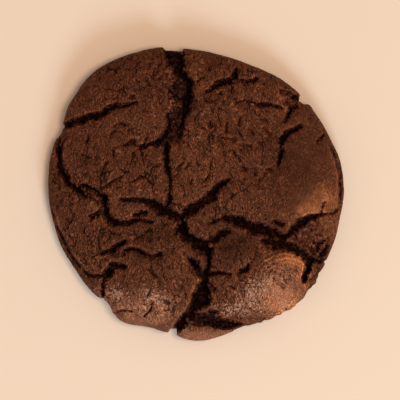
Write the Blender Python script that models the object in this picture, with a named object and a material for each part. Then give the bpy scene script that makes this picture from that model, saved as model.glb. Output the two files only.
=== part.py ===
"""A fudge cookie: one thick round of chocolate dough whose crust has risen and cracked.

The body is one closed solid. Its upper skin starts as a square grid that is pressed into
a disc, laid over a pillowed profile, swollen into plates and torn along named cracks.
A flat base closes it. All the sizes below are in millimetres, and the model is in metres,
+Z up, with the origin on the flat base at the middle of the cookie's box.
"""

import bmesh
import bpy
import numpy as np
from mathutils import Vector, noise

MM = 0.001
NAME = "fudge_cookie"

# --- Driving sizes -----------------------------------------------------------------------
CROWN_HEIGHT = 14.0  # top of the plain dome, before the swellings
WIDEST_HEIGHT = 3.6  # where the side bulges furthest out
BASE_TUCK = 2.4  # how far the side draws in again under the bulge
DOME_SQUARENESS = 2.7  # 2 is a round dome, more is flatter with a tighter shoulder
SHOULDER_SQUARENESS = 2.1
GRID_CELLS = 240  # cells along each side of the starting grid
TOP_SHARE = 0.74  # share of the grid's radius that the upper face takes
SKIN_TRIANGLES = 9400  # what the upper skin keeps once its flat stretches are thinned

# The rim's radius at each bearing, counter-clockwise from +X.
RIM = (
    (0, 38.9), (10, 39.0), (24, 38.3), (35, 38.0), (38.5, 38.0), (40, 36.9),
    (42, 36.9), (43.5, 37.9), (48, 38.0), (60, 37.3),
    (76, 37.0), (90, 38.0), (104, 39.7), (117, 41.1), (131, 41.9), (145, 40.9),
    (152, 39.6), (155.5, 38.9), (158.5, 39.6), (164, 39.6), (172, 39.2), (190, 38.5),
    (212, 37.7), (226, 37.7), (229.5, 37.1), (232, 37.3), (235, 38.3), (240, 38.7),
    (250, 37.4), (256, 37.5), (261, 37.4),
    (265, 38.4), (271, 38.8), (278, 38.2), (290, 37.3), (301, 38.0), (313, 39.4),
    (328, 38.6), (345, 38.4),
)

# Swellings and hollows of the crust: x, y, reach along x, reach along y, height.
SWELLINGS = {
    "south_east_ridge": (19.0, -19.0, 10.0, 8.5, 2.3),
    "caramel_bulge": (23.8, -18.6, 4.4, 5.6, 1.5),
    "south_west_lobe": (-14.5, -23.5, 9.0, 7.0, 2.2),
    "east_rise": (28.5, 2.2, 7.0, 6.0, 1.3),
    "centre_plate": (0.5, 11.0, 8.0, 11.0, 1.1),
    "north_west_plate": (-17.0, 25.0, 9.0, 7.0, 0.8),
    "west_middle_plate": (-15.0, 6.0, 9.0, 6.0, 0.6),
    "sunken_shard": (8.5, -12.0, 5.0, 4.5, -1.9),
    "sunken_shelf": (-13.0, -8.5, 6.5, 4.0, -1.5),
    "east_pit": (29.0, -11.5, 5.0, 3.5, -1.8),
    "north_east_dip": (17.0, 15.0, 6.0, 6.0, -0.5),
}

# Cracks: depth, how far the mouth bites into the rim, and points of x, y, half width.
CRACKS = {
    "north_mouth": (7.0, 1.0, (
        (-5.7, 41.0, 2.6), (-5.7, 37.5, 2.7), (-5.3, 34.5, 2.3), (-4.5, 32.4, 1.7),
        (-3.2, 31.0, 0.9),
    )),
    "north_gorge_bed": (7.2, 0.0, (
        (-3.4, 30.9, 0.9), (-1.8, 29.3, 1.4), (-2.0, 26.8, 1.1), (-2.4, 24.5, 1.3),
        (-3.0, 22.0, 1.6), (-4.2, 19.6, 1.5), (-5.6, 17.4, 1.3), (-7.2, 15.4, 0.9),
    )),
    "north_gorge_shelf": (2.1, 0.0, (
        (-3.6, 31.2, 2.0), (-3.7, 29.5, 3.3), (-4.2, 27.1, 3.4), (-4.6, 24.9, 3.1),
        (-4.8, 22.6, 2.6),
    )),
    "north_gorge_floor": (1.8, 0.0, (
        (-4.8, 22.6, 2.4), (-5.3, 18.4, 2.5), (-6.4, 16.0, 2.5), (-8.0, 14.4, 1.8),
        (-9.8, 13.4, 1.0), (-13.7, 12.5, 0.3),
    )),
    "north_gorge_foot": (4.8, 0.0, (
        (-7.2, 21.2, 0.4), (-7.2, 18.8, 0.6), (-7.9, 16.6, 0.6), (-9.2, 14.6, 0.7),
        (-10.5, 13.3, 0.8), (-12.9, 12.6, 0.5), (-15.0, 12.4, 0.2),
    )),
    "centre_fissure": (4.8, 0.0, (
        (-8.2, 13.2, 0.8), (-7.8, 10.3, 0.85), (-7.7, 8.2, 0.75), (-7.2, 5.9, 0.55),
        (-6.7, 3.5, 0.45), (-6.85, 1.5, 0.5), (-7.0, -0.5, 0.6), (-7.5, -3.2, 0.7),
    )),
    "north_west_gash": (4.8, 0.5, (
        (-38.8, 16.8, 0.6), (-35.0, 17.9, 0.65), (-31.4, 19.2, 0.95), (-28.0, 19.9, 0.95),
        (-25.3, 20.8, 0.85), (-22.6, 22.4, 0.75), (-20.4, 23.3, 0.65), (-17.6, 23.3, 0.45),
        (-15.6, 24.2, 0.2),
    )),
    "west_tear": (4.8, 0.3, (
        (-36.4, 14.6, 0.7), (-36.6, 12.6, 0.7), (-36.1, 9.9, 0.7), (-35.5, 7.2, 0.95),
        (-34.6, 5.1, 0.9), (-33.7, 2.8, 0.6), (-31.7, 1.8, 0.7), (-29.6, 0.4, 0.6),
        (-28.8, -0.6, 0.3),
    )),
    "west_plate_edge": (5.0, 0.0, (
        (-30.6, 2.2, 0.3), (-28.4, 2.4, 0.45), (-26.0, 1.1, 0.6), (-24.0, -1.0, 0.6),
        (-23.8, -3.4, 0.65), (-23.3, -5.4, 0.85), (-21.9, -7.6, 0.85), (-18.2, -7.7, 0.6),
        (-14.8, -6.7, 0.4), (-11.6, -7.4, 0.2),
    )),
    "trunk_corner": (4.8, 0.0, (
        (-1.1, -16.9, 0.4), (0.3, -19.0, 0.8), (2.0, -21.0, 0.8),
    )),
    "centre_west_fissure": (5.2, 0.0, (
        (-20.0, -1.5, 0.3), (-15.0, -1.5, 0.5), (-13.2, -2.0, 0.9), (-11.2, -2.7, 1.2),
        (-8.9, -4.0, 1.4), (-6.5, -5.7, 1.3), (-4.2, -5.9, 1.2),
    )),
    "centre_east_fissure": (5.2, 0.0, (
        (-4.2, -5.9, 1.1), (0.2, -3.2, 1.25), (3.0, -1.2, 1.2), (5.6, 1.6, 1.0),
        (8.4, 3.8, 0.4),
    )),
    "south_trunk": (6.4, 1.6, (
        (-4.2, -5.9, 1.0), (-3.4, -7.6, 0.8), (-4.1, -9.3, 1.5), (-2.4, -11.3, 1.4),
        (0.9, -13.4, 1.6), (3.2, -14.8, 1.5), (3.4, -16.6, 1.1), (3.0, -20.0, 1.25),
        (2.4, -22.6, 1.0), (1.8, -25.0, 1.8), (1.2, -27.6, 2.4), (-0.3, -29.2, 1.8),
        (-1.8, -30.8, 1.3), (-3.6, -33.2, 1.4), (-4.8, -35.0, 1.2), (-6.4, -37.0, 1.0),
        (-7.4, -40.0, 0.9),
    )),
    "south_shelf_crack": (4.8, 0.2, (
        (-2.2, -32.2, 1.2), (1.5, -32.9, 1.1), (4.6, -33.4, 1.0), (9.0, -34.0, 0.9),
        (12.6, -35.2, 0.7),
    )),
    "east_fissure": (5.6, 0.0, (
        (2.8, -7.6, 0.3), (6.6, -6.2, 0.9), (11.9, -7.4, 1.3), (14.4, -8.7, 1.2),
        (17.6, -9.3, 1.5), (20.3, -10.3, 1.3), (22.0, -11.2, 0.9), (23.4, -11.5, 0.8),
        (24.8, -10.5, 0.9), (25.9, -9.3, 1.2), (27.8, -8.2, 1.5), (30.4, -6.8, 1.1),
        (33.1, -5.7, 0.5),
    )),
    "east_rim_crack": (3.0, 0.1, (
        (33.1, -5.6, 0.4), (35.2, -5.3, 0.35), (37.0, -4.3, 0.4), (40.0, -2.6, 0.35),
    )),
    "shard_edge": (4.2, 0.0, (
        (1.1, -13.7, 0.6), (5.0, -11.9, 0.9), (8.2, -9.8, 0.6),
    )),
    "north_east_nick": (5.0, 0.0, (
        (2.3, 26.6, 0.2), (4.1, 27.4, 0.5), (5.5, 28.4, 0.8), (8.3, 29.2, 0.9),
        (9.9, 30.3, 0.9), (10.4, 32.5, 0.5),
    )),
    "rim_pit": (4.8, 0.4, (
        (30.4, 26.2, 0.6), (27.8, 25.4, 0.8), (25.6, 25.3, 0.8), (25.4, 22.6, 0.6),
        (24.4, 21.0, 0.5), (23.3, 19.0, 0.25),
    )),
    "east_tick": (4.6, 0.0, (
        (27.4, 17.7, 0.35), (25.4, 16.3, 0.6), (23.5, 15.3, 0.75), (22.4, 14.0, 0.7),
        (22.1, 12.2, 0.5), (22.5, 11.0, 0.55), (21.9, 8.2, 0.35), (21.6, 7.2, 0.2),
    )),
    "south_west_pit": (3.7, 0.0, (
        (-22.4, -18.5, 0.3), (-20.8, -19.0, 0.55), (-19.3, -19.2, 0.5),
    )),
    "south_west_hole": (4.8, 0.0, (
        (-22.0, -19.9, 0.6), (-23.1, -20.9, 0.95),
    )),
    "south_west_notch": (3.9, 0.3, (
        (-23.8, -21.6, 0.6), (-24.5, -23.0, 0.45), (-24.7, -25.4, 0.4), (-24.6, -29.0, 0.3),
    )),
    "west_wrinkle": (3.9, 0.0, (
        (-25.0, -15.7, 0.3), (-22.3, -14.8, 0.55), (-21.4, -13.8, 0.6), (-18.9, -12.6, 0.3),
    )),
    "south_west_wrinkle": (3.9, 0.0, (
        (-19.2, -14.8, 0.3), (-16.5, -14.8, 0.6), (-14.8, -15.0, 0.55), (-13.2, -15.8, 0.4),
        (-11.5, -16.5, 0.4), (-9.5, -16.0, 0.25),
    )),
    "bulge_gully": (2.9, 0.0, (
        (18.0, -12.4, 0.8), (21.2, -13.3, 1.3), (24.4, -13.6, 1.4), (27.4, -15.3, 1.3),
        (29.6, -17.2, 1.3),
    )),
    "bulge_gap": (5.2, 0.0, (
        (28.6, -16.4, 0.7), (30.0, -17.4, 1.0), (29.4, -19.6, 1.1), (28.7, -21.6, 0.95),
        (28.2, -23.4, 0.5),
    )),
    "bulge_mouth": (4.2, 0.4, (
        (30.4, -17.6, 0.8), (33.5, -17.9, 0.6), (37.5, -19.6, 0.6),
    )),
    "east_hollow": (1.9, 0.0, (
        (25.0, -12.4, 1.2), (29.5, -11.0, 2.8), (31.6, -13.6, 2.6),
    )),
    "east_ring_pit": (4.8, 0.0, (
        (32.6, -16.0, 0.8), (34.2, -15.1, 0.9),
    )),
}

# Feet, where the dough under the crust spread past its edge: bearings from and to, how far
# the crust stands back at each end, and the foot's height at the seam.
FEET = {
    "west_foot": (154.0, 178.0, 2.2, 3.2, 6.4),
    "south_west_foot": (181.0, 223.0, 1.3, 2.0, 5.6),
    "south_foot": (259.0, 291.0, 5.4, 3.4, 6.6),
    "east_foot": (-4.0, 18.0, 1.4, 1.8, 5.8),
}
FOOT_FADE = 0.3  # share of a foot's length over which each end dies away
CRUST_OVER_FOOT = 6.0  # how high plain crust would stand over the widest line at a seam
SEAM_DEPTH = 1.4
SEAM_HALF_WIDTH = 0.5

# How crust behaves beside a tear.
WALL_RUN = 0.5  # how far a crack's wall takes to go down
FLOOR_LEFT = 1.5  # the least dough that stays under a crack
LIP_DROP = 0.3  # the crust's edge is rounded down by this much
LIP_RUN = 0.6
PILLOW_RISE = 1.1  # a plate's middle stands this much higher than its edge
PILLOW_RUN = 4.0

# Unevenness: wavelength, amount.
EDGE_WANDER = ((4.5, 0.55), (1.6, 0.3))  # sideways, of the cracks
LUMPS = ((11.0, 0.6), (5.0, 0.3))  # up and down, of the crust
RIM_LUMPS = ((7.0, 0.3),)  # in and out, of the side
RIM_CRAGS = ((2.4, 0.5),)  # in and out, where the rim is ragged
CRAGGY_FROM, CRAGGY_TO, CRAGGY_FADE = 288.0, 334.0, 8.0  # bearings of the ragged stretch
WANDER_SEEDS = (3.1, 47.7)
LUMP_SEED = 91.3
RIM_SEED = 18.9
CRAG_SEED = 63.2

# Where the upper face turns into the side, as shares of the rim's radius.
SHOULDER_SHARE = 0.93
SIDE_STARTS, SIDE_FULL = 0.93, 0.998
CRUST_FADE = 0.6  # how soon the crust's unevenness dies away down the side
SIDE_SQUEEZE = 0.6  # noise on the steep side is stretched upwards by one over this
CREASE_ANGLE = 50.0  # degrees; sharper bends than this stay unsmoothed

CHOCOLATE_CRUST = (0.078, 0.026, 0.0125)
CRUST_ROUGHNESS = 0.72


def clear_scene():
    for obj in list(bpy.data.objects):
        bpy.data.objects.remove(obj, do_unlink=True)


def smooth_step(low, high, value):
    t = np.clip((value - low) / (high - low), 0.0, 1.0)
    return t * t * (3.0 - 2.0 * t)


def wavy(points, waves, seed):
    """Seeded noise at each point: the sum over (wavelength, amount) of waves."""
    start = Vector((seed, seed, 0.0))
    total = np.zeros(len(points))
    for wavelength, amount in waves:
        total += amount * np.array([noise.noise(Vector(p) + start) for p in points / wavelength])
    return total


def rim_radius(bearing):
    """The rim's radius at each bearing in degrees, as a smooth closed curve through RIM."""
    angles, radii = (np.array(column, float) for column in zip(*RIM))
    count = len(angles)
    bearing = np.mod(bearing - angles[0], 360.0) + angles[0]
    start = np.searchsorted(angles, bearing, side="right") - 1
    span = np.mod(angles[(start + 1) % count] - angles[start], 360.0)
    t = (bearing - angles[start]) / span
    before, here, after, beyond = (radii[(start + k) % count] for k in (-1, 0, 1, 2))
    cubic = 3 * (here - after) + beyond - before
    square = 2 * before - 5 * here + 4 * after - beyond
    return here + 0.5 * t * (after - before + t * (square + t * cubic))


def profile(share):
    """Radius as a share of the rim's, and height, at a share of the way from crown to base."""
    turn = np.linspace(0.0, np.pi / 2, 400)
    rise = CROWN_HEIGHT - WIDEST_HEIGHT
    dome_r = np.sin(turn) ** (2 / DOME_SQUARENESS)
    dome_z = WIDEST_HEIGHT + rise * np.cos(turn) ** (2 / SHOULDER_SQUARENESS)
    mean_rim = np.mean([radius for _, radius in RIM])
    tuck_r = 1.0 - BASE_TUCK / mean_rim * (1.0 - np.cos(turn[1:]))
    tuck_z = WIDEST_HEIGHT * (1.0 - np.sin(turn[1:]))
    radius, height = np.append(dome_r, tuck_r), np.append(dome_z, tuck_z)
    along = np.append(0.0, np.cumsum(np.hypot(np.diff(radius) * mean_rim, np.diff(height))))
    shoulder = np.interp(SHOULDER_SHARE, dome_r, along[: len(turn)])
    where = np.interp(share, (0.0, TOP_SHARE, 1.0), (0.0, shoulder, along[-1]))
    return np.interp(where, along, radius), np.interp(where, along, height)


def route_distance(x, y, route):
    """For each place, how far it lies outside a crack's edge. It is negative inside."""
    nearest = np.full(len(x), np.inf)
    for (x0, y0, w0), (x1, y1, w1) in zip(route, route[1:]):
        run, rise = x1 - x0, y1 - y0
        t = np.clip(((x - x0) * run + (y - y0) * rise) / (run * run + rise * rise), 0.0, 1.0)
        away = np.hypot(x - x0 - t * run, y - y0 - t * rise) - (w0 + t * (w1 - w0))
        nearest = np.minimum(nearest, away)
    return nearest


def torn(x, y):
    """At each place: a crack's depth, its bite into the rim, and the way to the nearest edge."""
    drop, bite = np.zeros(len(x)), np.zeros(len(x))
    edge = np.full(len(x), np.inf)
    for depth, mouth, route in CRACKS.values():
        away = route_distance(x, y, route)
        fallen = smooth_step(-WALL_RUN / 2, WALL_RUN / 2, -away)
        drop = np.maximum(drop, depth * fallen)
        bite = np.maximum(bite, mouth * fallen)
        edge = np.minimum(edge, away)
    return drop, bite, np.maximum(edge, 0.0)


def swelling(x, y):
    total = np.zeros(len(x))
    for at_x, at_y, reach_x, reach_y, height in SWELLINGS.values():
        total += height * np.exp(-(((x - at_x) / reach_x) ** 2) - ((y - at_y) / reach_y) ** 2)
    return total


def feet(bearing, inset, z):
    """Lowers the skin outside each foot's seam to a ledge, and sinks the seam itself."""
    above = np.maximum(z - WIDEST_HEIGHT, 0.0)
    lowered, seam = np.zeros(len(z)), np.zeros(len(z))
    for start, end, setback_start, setback_end, tall in FEET.values():
        along = np.mod(bearing - start, 360.0) / (end - start)
        inside = smooth_step(0.0, FOOT_FADE, along) * smooth_step(1.0, 1.0 - FOOT_FADE, along)
        setback = setback_start + (setback_end - setback_start) * np.clip(along, 0.0, 1.0)
        shown = inside * smooth_step(SEAM_HALF_WIDTH / 2, -SEAM_HALF_WIDTH / 2, inset - setback)
        flattening = np.clip(1.0 - (tall - WIDEST_HEIGHT) / CRUST_OVER_FOOT, 0.0, 1.0)
        lowered = np.maximum(lowered, shown * flattening * above)
        near_seam = np.exp(-(((inset - setback) / SEAM_HALF_WIDTH) ** 2))
        seam = np.maximum(seam, SEAM_DEPTH * inside * near_seam)
    return z - lowered - np.minimum(seam, above)


def skin_shape(u, v):
    """Places of the skin, in millimetres, for points (u, v) of the unit disc."""
    bearing = np.arctan2(v, u)
    outward_x, outward_y = np.cos(bearing), np.sin(bearing)
    bearing = np.degrees(bearing)
    rim = rim_radius(bearing)
    share_r, z = profile(np.hypot(u, v))
    x, y = outward_x * rim * share_r, outward_y * rim * share_r

    # Torn edges wander, so the cracks and seams are read a little to one side.
    places = np.stack([x, y, SIDE_SQUEEZE * z], axis=1)
    aside_x, aside_y = (wavy(places, EDGE_WANDER, seed) for seed in WANDER_SEEDS)
    drop, bite, way_to_edge = torn(x + aside_x, y + aside_y)

    # The crust rises between the cracks, and its edges round down into them.
    over_side = np.clip((z - WIDEST_HEIGHT) / (CROWN_HEIGHT - WIDEST_HEIGHT), 0.0, 1.0)
    lip = LIP_DROP * np.exp(-way_to_edge / LIP_RUN)
    pillow = PILLOW_RISE * (1.0 - np.exp(-way_to_edge / PILLOW_RUN))
    risen = swelling(x, y) + pillow - lip + wavy(places, LUMPS, LUMP_SEED)
    z = z + over_side**CRUST_FADE * risen
    z = feet(bearing, rim * (1.0 - share_r) + aside_x / 2, z)

    # A crack sinks the upper face, and bites inwards where it runs out over the side.
    sideness = np.where(over_side > 0.0, smooth_step(SIDE_STARTS, SIDE_FULL, share_r), 1.0)
    room = np.clip((z - FLOOR_LEFT) / (drop + FLOOR_LEFT), 0.0, 1.0)
    z = np.maximum(z - drop * room * (1.0 - sideness), 0.0)
    along = np.mod(bearing, 360.0)
    craggy = smooth_step(CRAGGY_FROM, CRAGGY_FROM + CRAGGY_FADE, along)
    craggy *= smooth_step(CRAGGY_TO, CRAGGY_TO - CRAGGY_FADE, along)
    crags = craggy * wavy(places, RIM_CRAGS, CRAG_SEED)
    push = sideness * (wavy(places, RIM_LUMPS, RIM_SEED) + crags - bite)
    return x + outward_x * push, y + outward_y * push, z


def disc_of_square(a, b):
    """Presses a square grid into a disc without a pole."""
    return a * np.sqrt(1.0 - b * b / 2.0), b * np.sqrt(1.0 - a * a / 2.0)


def thin_out(obj, triangles):
    """Keeps about this many triangles, most of them where the skin bends."""
    thinning = obj.modifiers.new("thin out", "DECIMATE")
    thinning.ratio = triangles / (2 * GRID_CELLS**2)
    graph = bpy.context.evaluated_depsgraph_get()
    thinned = bpy.data.meshes.new_from_object(obj.evaluated_get(graph))
    obj.modifiers.remove(thinning)
    obj.data = thinned


def close_base(mesh):
    """Sets the skin's open edge on the ground, closes it with one flat face, and centres it."""
    bm = bmesh.new()
    bm.from_mesh(mesh)
    open_edges = [edge for edge in bm.edges if edge.is_boundary]
    for edge in open_edges:
        for vert in edge.verts:
            vert.co.z = 0.0
    bmesh.ops.holes_fill(bm, edges=open_edges)
    bmesh.ops.recalc_face_normals(bm, faces=bm.faces)
    places = np.array([vert.co for vert in bm.verts])
    middle = (places.min(axis=0) + places.max(axis=0)) / 2
    bmesh.ops.translate(bm, verts=bm.verts, vec=(-middle[0], -middle[1], 0.0))
    bm.to_mesh(mesh)
    bm.free()
    mesh.shade_smooth()
    mesh.set_sharp_from_angle(angle=np.radians(CREASE_ANGLE))


def crust_material():
    material = bpy.data.materials.new("chocolate_crust")
    material.use_nodes = True
    shader = material.node_tree.nodes["Principled BSDF"]
    shader.inputs["Base Color"].default_value = (*CHOCOLATE_CRUST, 1.0)
    shader.inputs["Roughness"].default_value = CRUST_ROUGHNESS
    return material


def cookie(collection):
    bm = bmesh.new()
    bmesh.ops.create_grid(bm, x_segments=GRID_CELLS, y_segments=GRID_CELLS, size=1.0)
    square = np.array([vert.co for vert in bm.verts])
    u, v = disc_of_square(square[:, 0], square[:, 1])
    for vert, place in zip(bm.verts, np.stack(skin_shape(u, v), axis=1)):
        vert.co = place * MM
    mesh = bpy.data.meshes.new("cookie")
    bm.to_mesh(mesh)
    bm.free()
    obj = bpy.data.objects.new("cookie", mesh)
    collection.objects.link(obj)
    thin_out(obj, SKIN_TRIANGLES)
    close_base(obj.data)
    obj.data.materials.append(crust_material())


def main():
    clear_scene()
    collection = bpy.data.collections.new(NAME)
    bpy.context.scene.collection.children.link(collection)
    cookie(collection)


main()
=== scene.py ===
# %% [markdown]
# # A fudge cookie from straight above
#
# The real thing is one thick round of chocolate dough. In the oven its skin dried into a crust, and the
# dough that went on rising underneath tore the crust into plates. The CAD solid already has that form with
# fewer than ten thousand faces. This script makes the same cookie again with fine faces, then adds what
# only shows up close: leathery wrinkles, crumbly cracks, browned patches and dust, with light, shade and
# glints painted into their colour.

import bmesh
import bpy
import numpy as np
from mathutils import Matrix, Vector, noise


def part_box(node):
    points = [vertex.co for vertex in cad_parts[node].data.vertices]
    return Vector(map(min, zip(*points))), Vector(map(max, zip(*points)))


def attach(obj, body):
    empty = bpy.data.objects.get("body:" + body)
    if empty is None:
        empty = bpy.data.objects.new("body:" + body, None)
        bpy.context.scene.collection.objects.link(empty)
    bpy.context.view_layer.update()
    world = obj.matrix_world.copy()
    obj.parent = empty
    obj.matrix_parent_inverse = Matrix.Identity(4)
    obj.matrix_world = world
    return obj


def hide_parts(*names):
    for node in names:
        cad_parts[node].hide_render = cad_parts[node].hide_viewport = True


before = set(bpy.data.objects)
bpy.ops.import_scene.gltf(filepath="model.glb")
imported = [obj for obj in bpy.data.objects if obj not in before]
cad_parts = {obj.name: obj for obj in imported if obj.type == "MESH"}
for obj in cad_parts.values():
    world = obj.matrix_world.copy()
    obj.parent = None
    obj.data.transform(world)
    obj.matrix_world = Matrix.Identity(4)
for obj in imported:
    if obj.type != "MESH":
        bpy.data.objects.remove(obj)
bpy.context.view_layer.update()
solid_low, solid_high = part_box("cookie")
MM = 0.001
print("the solid is", [round(side / MM, 1) for side in solid_high - solid_low], "mm")

# %% [markdown]
# ## The sizes of the cookie
#
# The fine cookie follows the same rule as the solid, and its profile, outline and swellings
# have the solid's own sizes, in millimetres. The profile is a flattened dome that bulges
# out at the side and tucks in again where it meets the baking sheet. The outline is a radius
# for each bearing, counted counter-clockwise from +X, which is the right of the picture.

# %% Profile and outline
CROWN_HEIGHT = 14.0  # top of the plain dome, before the swellings
WIDEST_HEIGHT = 3.6
BASE_TUCK = 2.4  # how far the base stands in from the widest line
DOME_SQUARENESS = 2.7
SHOULDER_SQUARENESS = 2.1
TOP_SHARE = 0.74  # share of the grid's radius that the upper face takes
SHOULDER_SHARE = 0.93  # share of the rim's radius at which it ends
PROFILE_POINTS = 400  # along each half of the profile

RIM = (  # bearing, radius
    (0, 38.9), (10, 39.0), (24, 38.3), (35, 38.0), (38.5, 38.0), (40, 36.9),
    (42, 36.9), (43.5, 37.9), (48, 38.0), (60, 37.3), (76, 37.0), (90, 38.0),
    (104, 39.7), (117, 41.1), (131, 41.9), (145, 40.9), (152, 39.6), (155.5, 38.9),
    (158.5, 39.6), (164, 39.6), (172, 39.2), (190, 38.5), (212, 37.7), (226, 37.7),
    (229.5, 37.1), (232, 37.3), (235, 38.3), (240, 38.7), (250, 37.4), (256, 37.5),
    (261, 37.4), (265, 38.4), (271, 38.8), (278, 38.2), (290, 37.3), (301, 38.0),
    (313, 39.4), (328, 38.6), (345, 38.4),
)
MEAN_RIM = np.mean([radius for _, radius in RIM])


def smooth_step(low, high, value):
    t = np.clip((value - low) / (high - low), 0.0, 1.0)
    return t * t * (3.0 - 2.0 * t)


def rim_radius(bearing):
    """The rim's radius at each bearing in degrees, as a smooth closed curve through RIM."""
    angles, radii = (np.array(column, float) for column in zip(*RIM))
    count = len(angles)
    bearing = np.mod(bearing - angles[0], 360.0) + angles[0]
    start = np.searchsorted(angles, bearing, side="right") - 1
    span = np.mod(angles[(start + 1) % count] - angles[start], 360.0)
    t = (bearing - angles[start]) / span
    before, here, after, beyond = (radii[(start + k) % count] for k in (-1, 0, 1, 2))
    cubic = 3 * (here - after) + beyond - before
    square = 2 * before - 5 * here + 4 * after - beyond
    return here + 0.5 * t * (after - before + t * (square + t * cubic))


def profile(share):
    """Radius as a share of the rim's, and height, at a share of the way from crown to base."""
    turn = np.linspace(0.0, np.pi / 2, PROFILE_POINTS)
    rise = CROWN_HEIGHT - WIDEST_HEIGHT
    dome_r = np.sin(turn) ** (2 / DOME_SQUARENESS)
    dome_z = WIDEST_HEIGHT + rise * np.cos(turn) ** (2 / SHOULDER_SQUARENESS)
    tuck_r = 1.0 - BASE_TUCK / MEAN_RIM * (1.0 - np.cos(turn[1:]))
    tuck_z = WIDEST_HEIGHT * (1.0 - np.sin(turn[1:]))
    radius, height = np.append(dome_r, tuck_r), np.append(dome_z, tuck_z)
    along = np.append(0.0, np.cumsum(np.hypot(np.diff(radius) * MEAN_RIM, np.diff(height))))
    shoulder = np.interp(SHOULDER_SHARE, dome_r, along[: len(turn)])
    where = np.interp(share, (0.0, TOP_SHARE, 1.0), (0.0, shoulder, along[-1]))
    return np.interp(where, along, radius), np.interp(where, along, height)


print("mean radius of the rim:", round(MEAN_RIM, 2), "mm")

# %% [markdown]
# ## Plates, cracks and feet
#
# Each plate is a soft swelling. Each crack is a short route with a width at every point, and everything
# inside the route sinks. A foot is a ledge near the table, where the dough crept out from under the dry
# crust. No rule says where dough tears, so these are tables, drawn one by one. Many cracks are too small
# for the solid, and only the fine cookie has them.
# It shares 30 cracks and the four feet with the solid, but 18 of those cracks and two of
# those feet differ from the solid's in route, width or depth.

# %% Swellings
SWELLINGS = {  # x, y, reach along x, reach along y, height
    "south_east_ridge": (19.0, -19.0, 10.0, 8.5, 2.3),
    "caramel_bulge": (23.8, -18.6, 4.4, 5.6, 1.5),
    "south_west_lobe": (-14.5, -23.5, 9.0, 7.0, 2.2),
    "east_rise": (28.5, 2.2, 7.0, 6.0, 1.3),
    "centre_plate": (0.5, 11.0, 8.0, 11.0, 1.1),
    "north_west_plate": (-17.0, 25.0, 9.0, 7.0, 0.8),
    "west_middle_plate": (-15.0, 6.0, 9.0, 6.0, 0.6),
    "sunken_shard": (8.5, -12.0, 5.0, 4.5, -1.9),
    "sunken_shelf": (-13.0, -8.5, 6.5, 4.0, -1.5),
    "east_pit": (29.0, -11.5, 5.0, 3.5, -1.8),
    "north_east_dip": (17.0, 15.0, 6.0, 6.0, -0.5),
}
print(len(SWELLINGS), "swellings")

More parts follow.
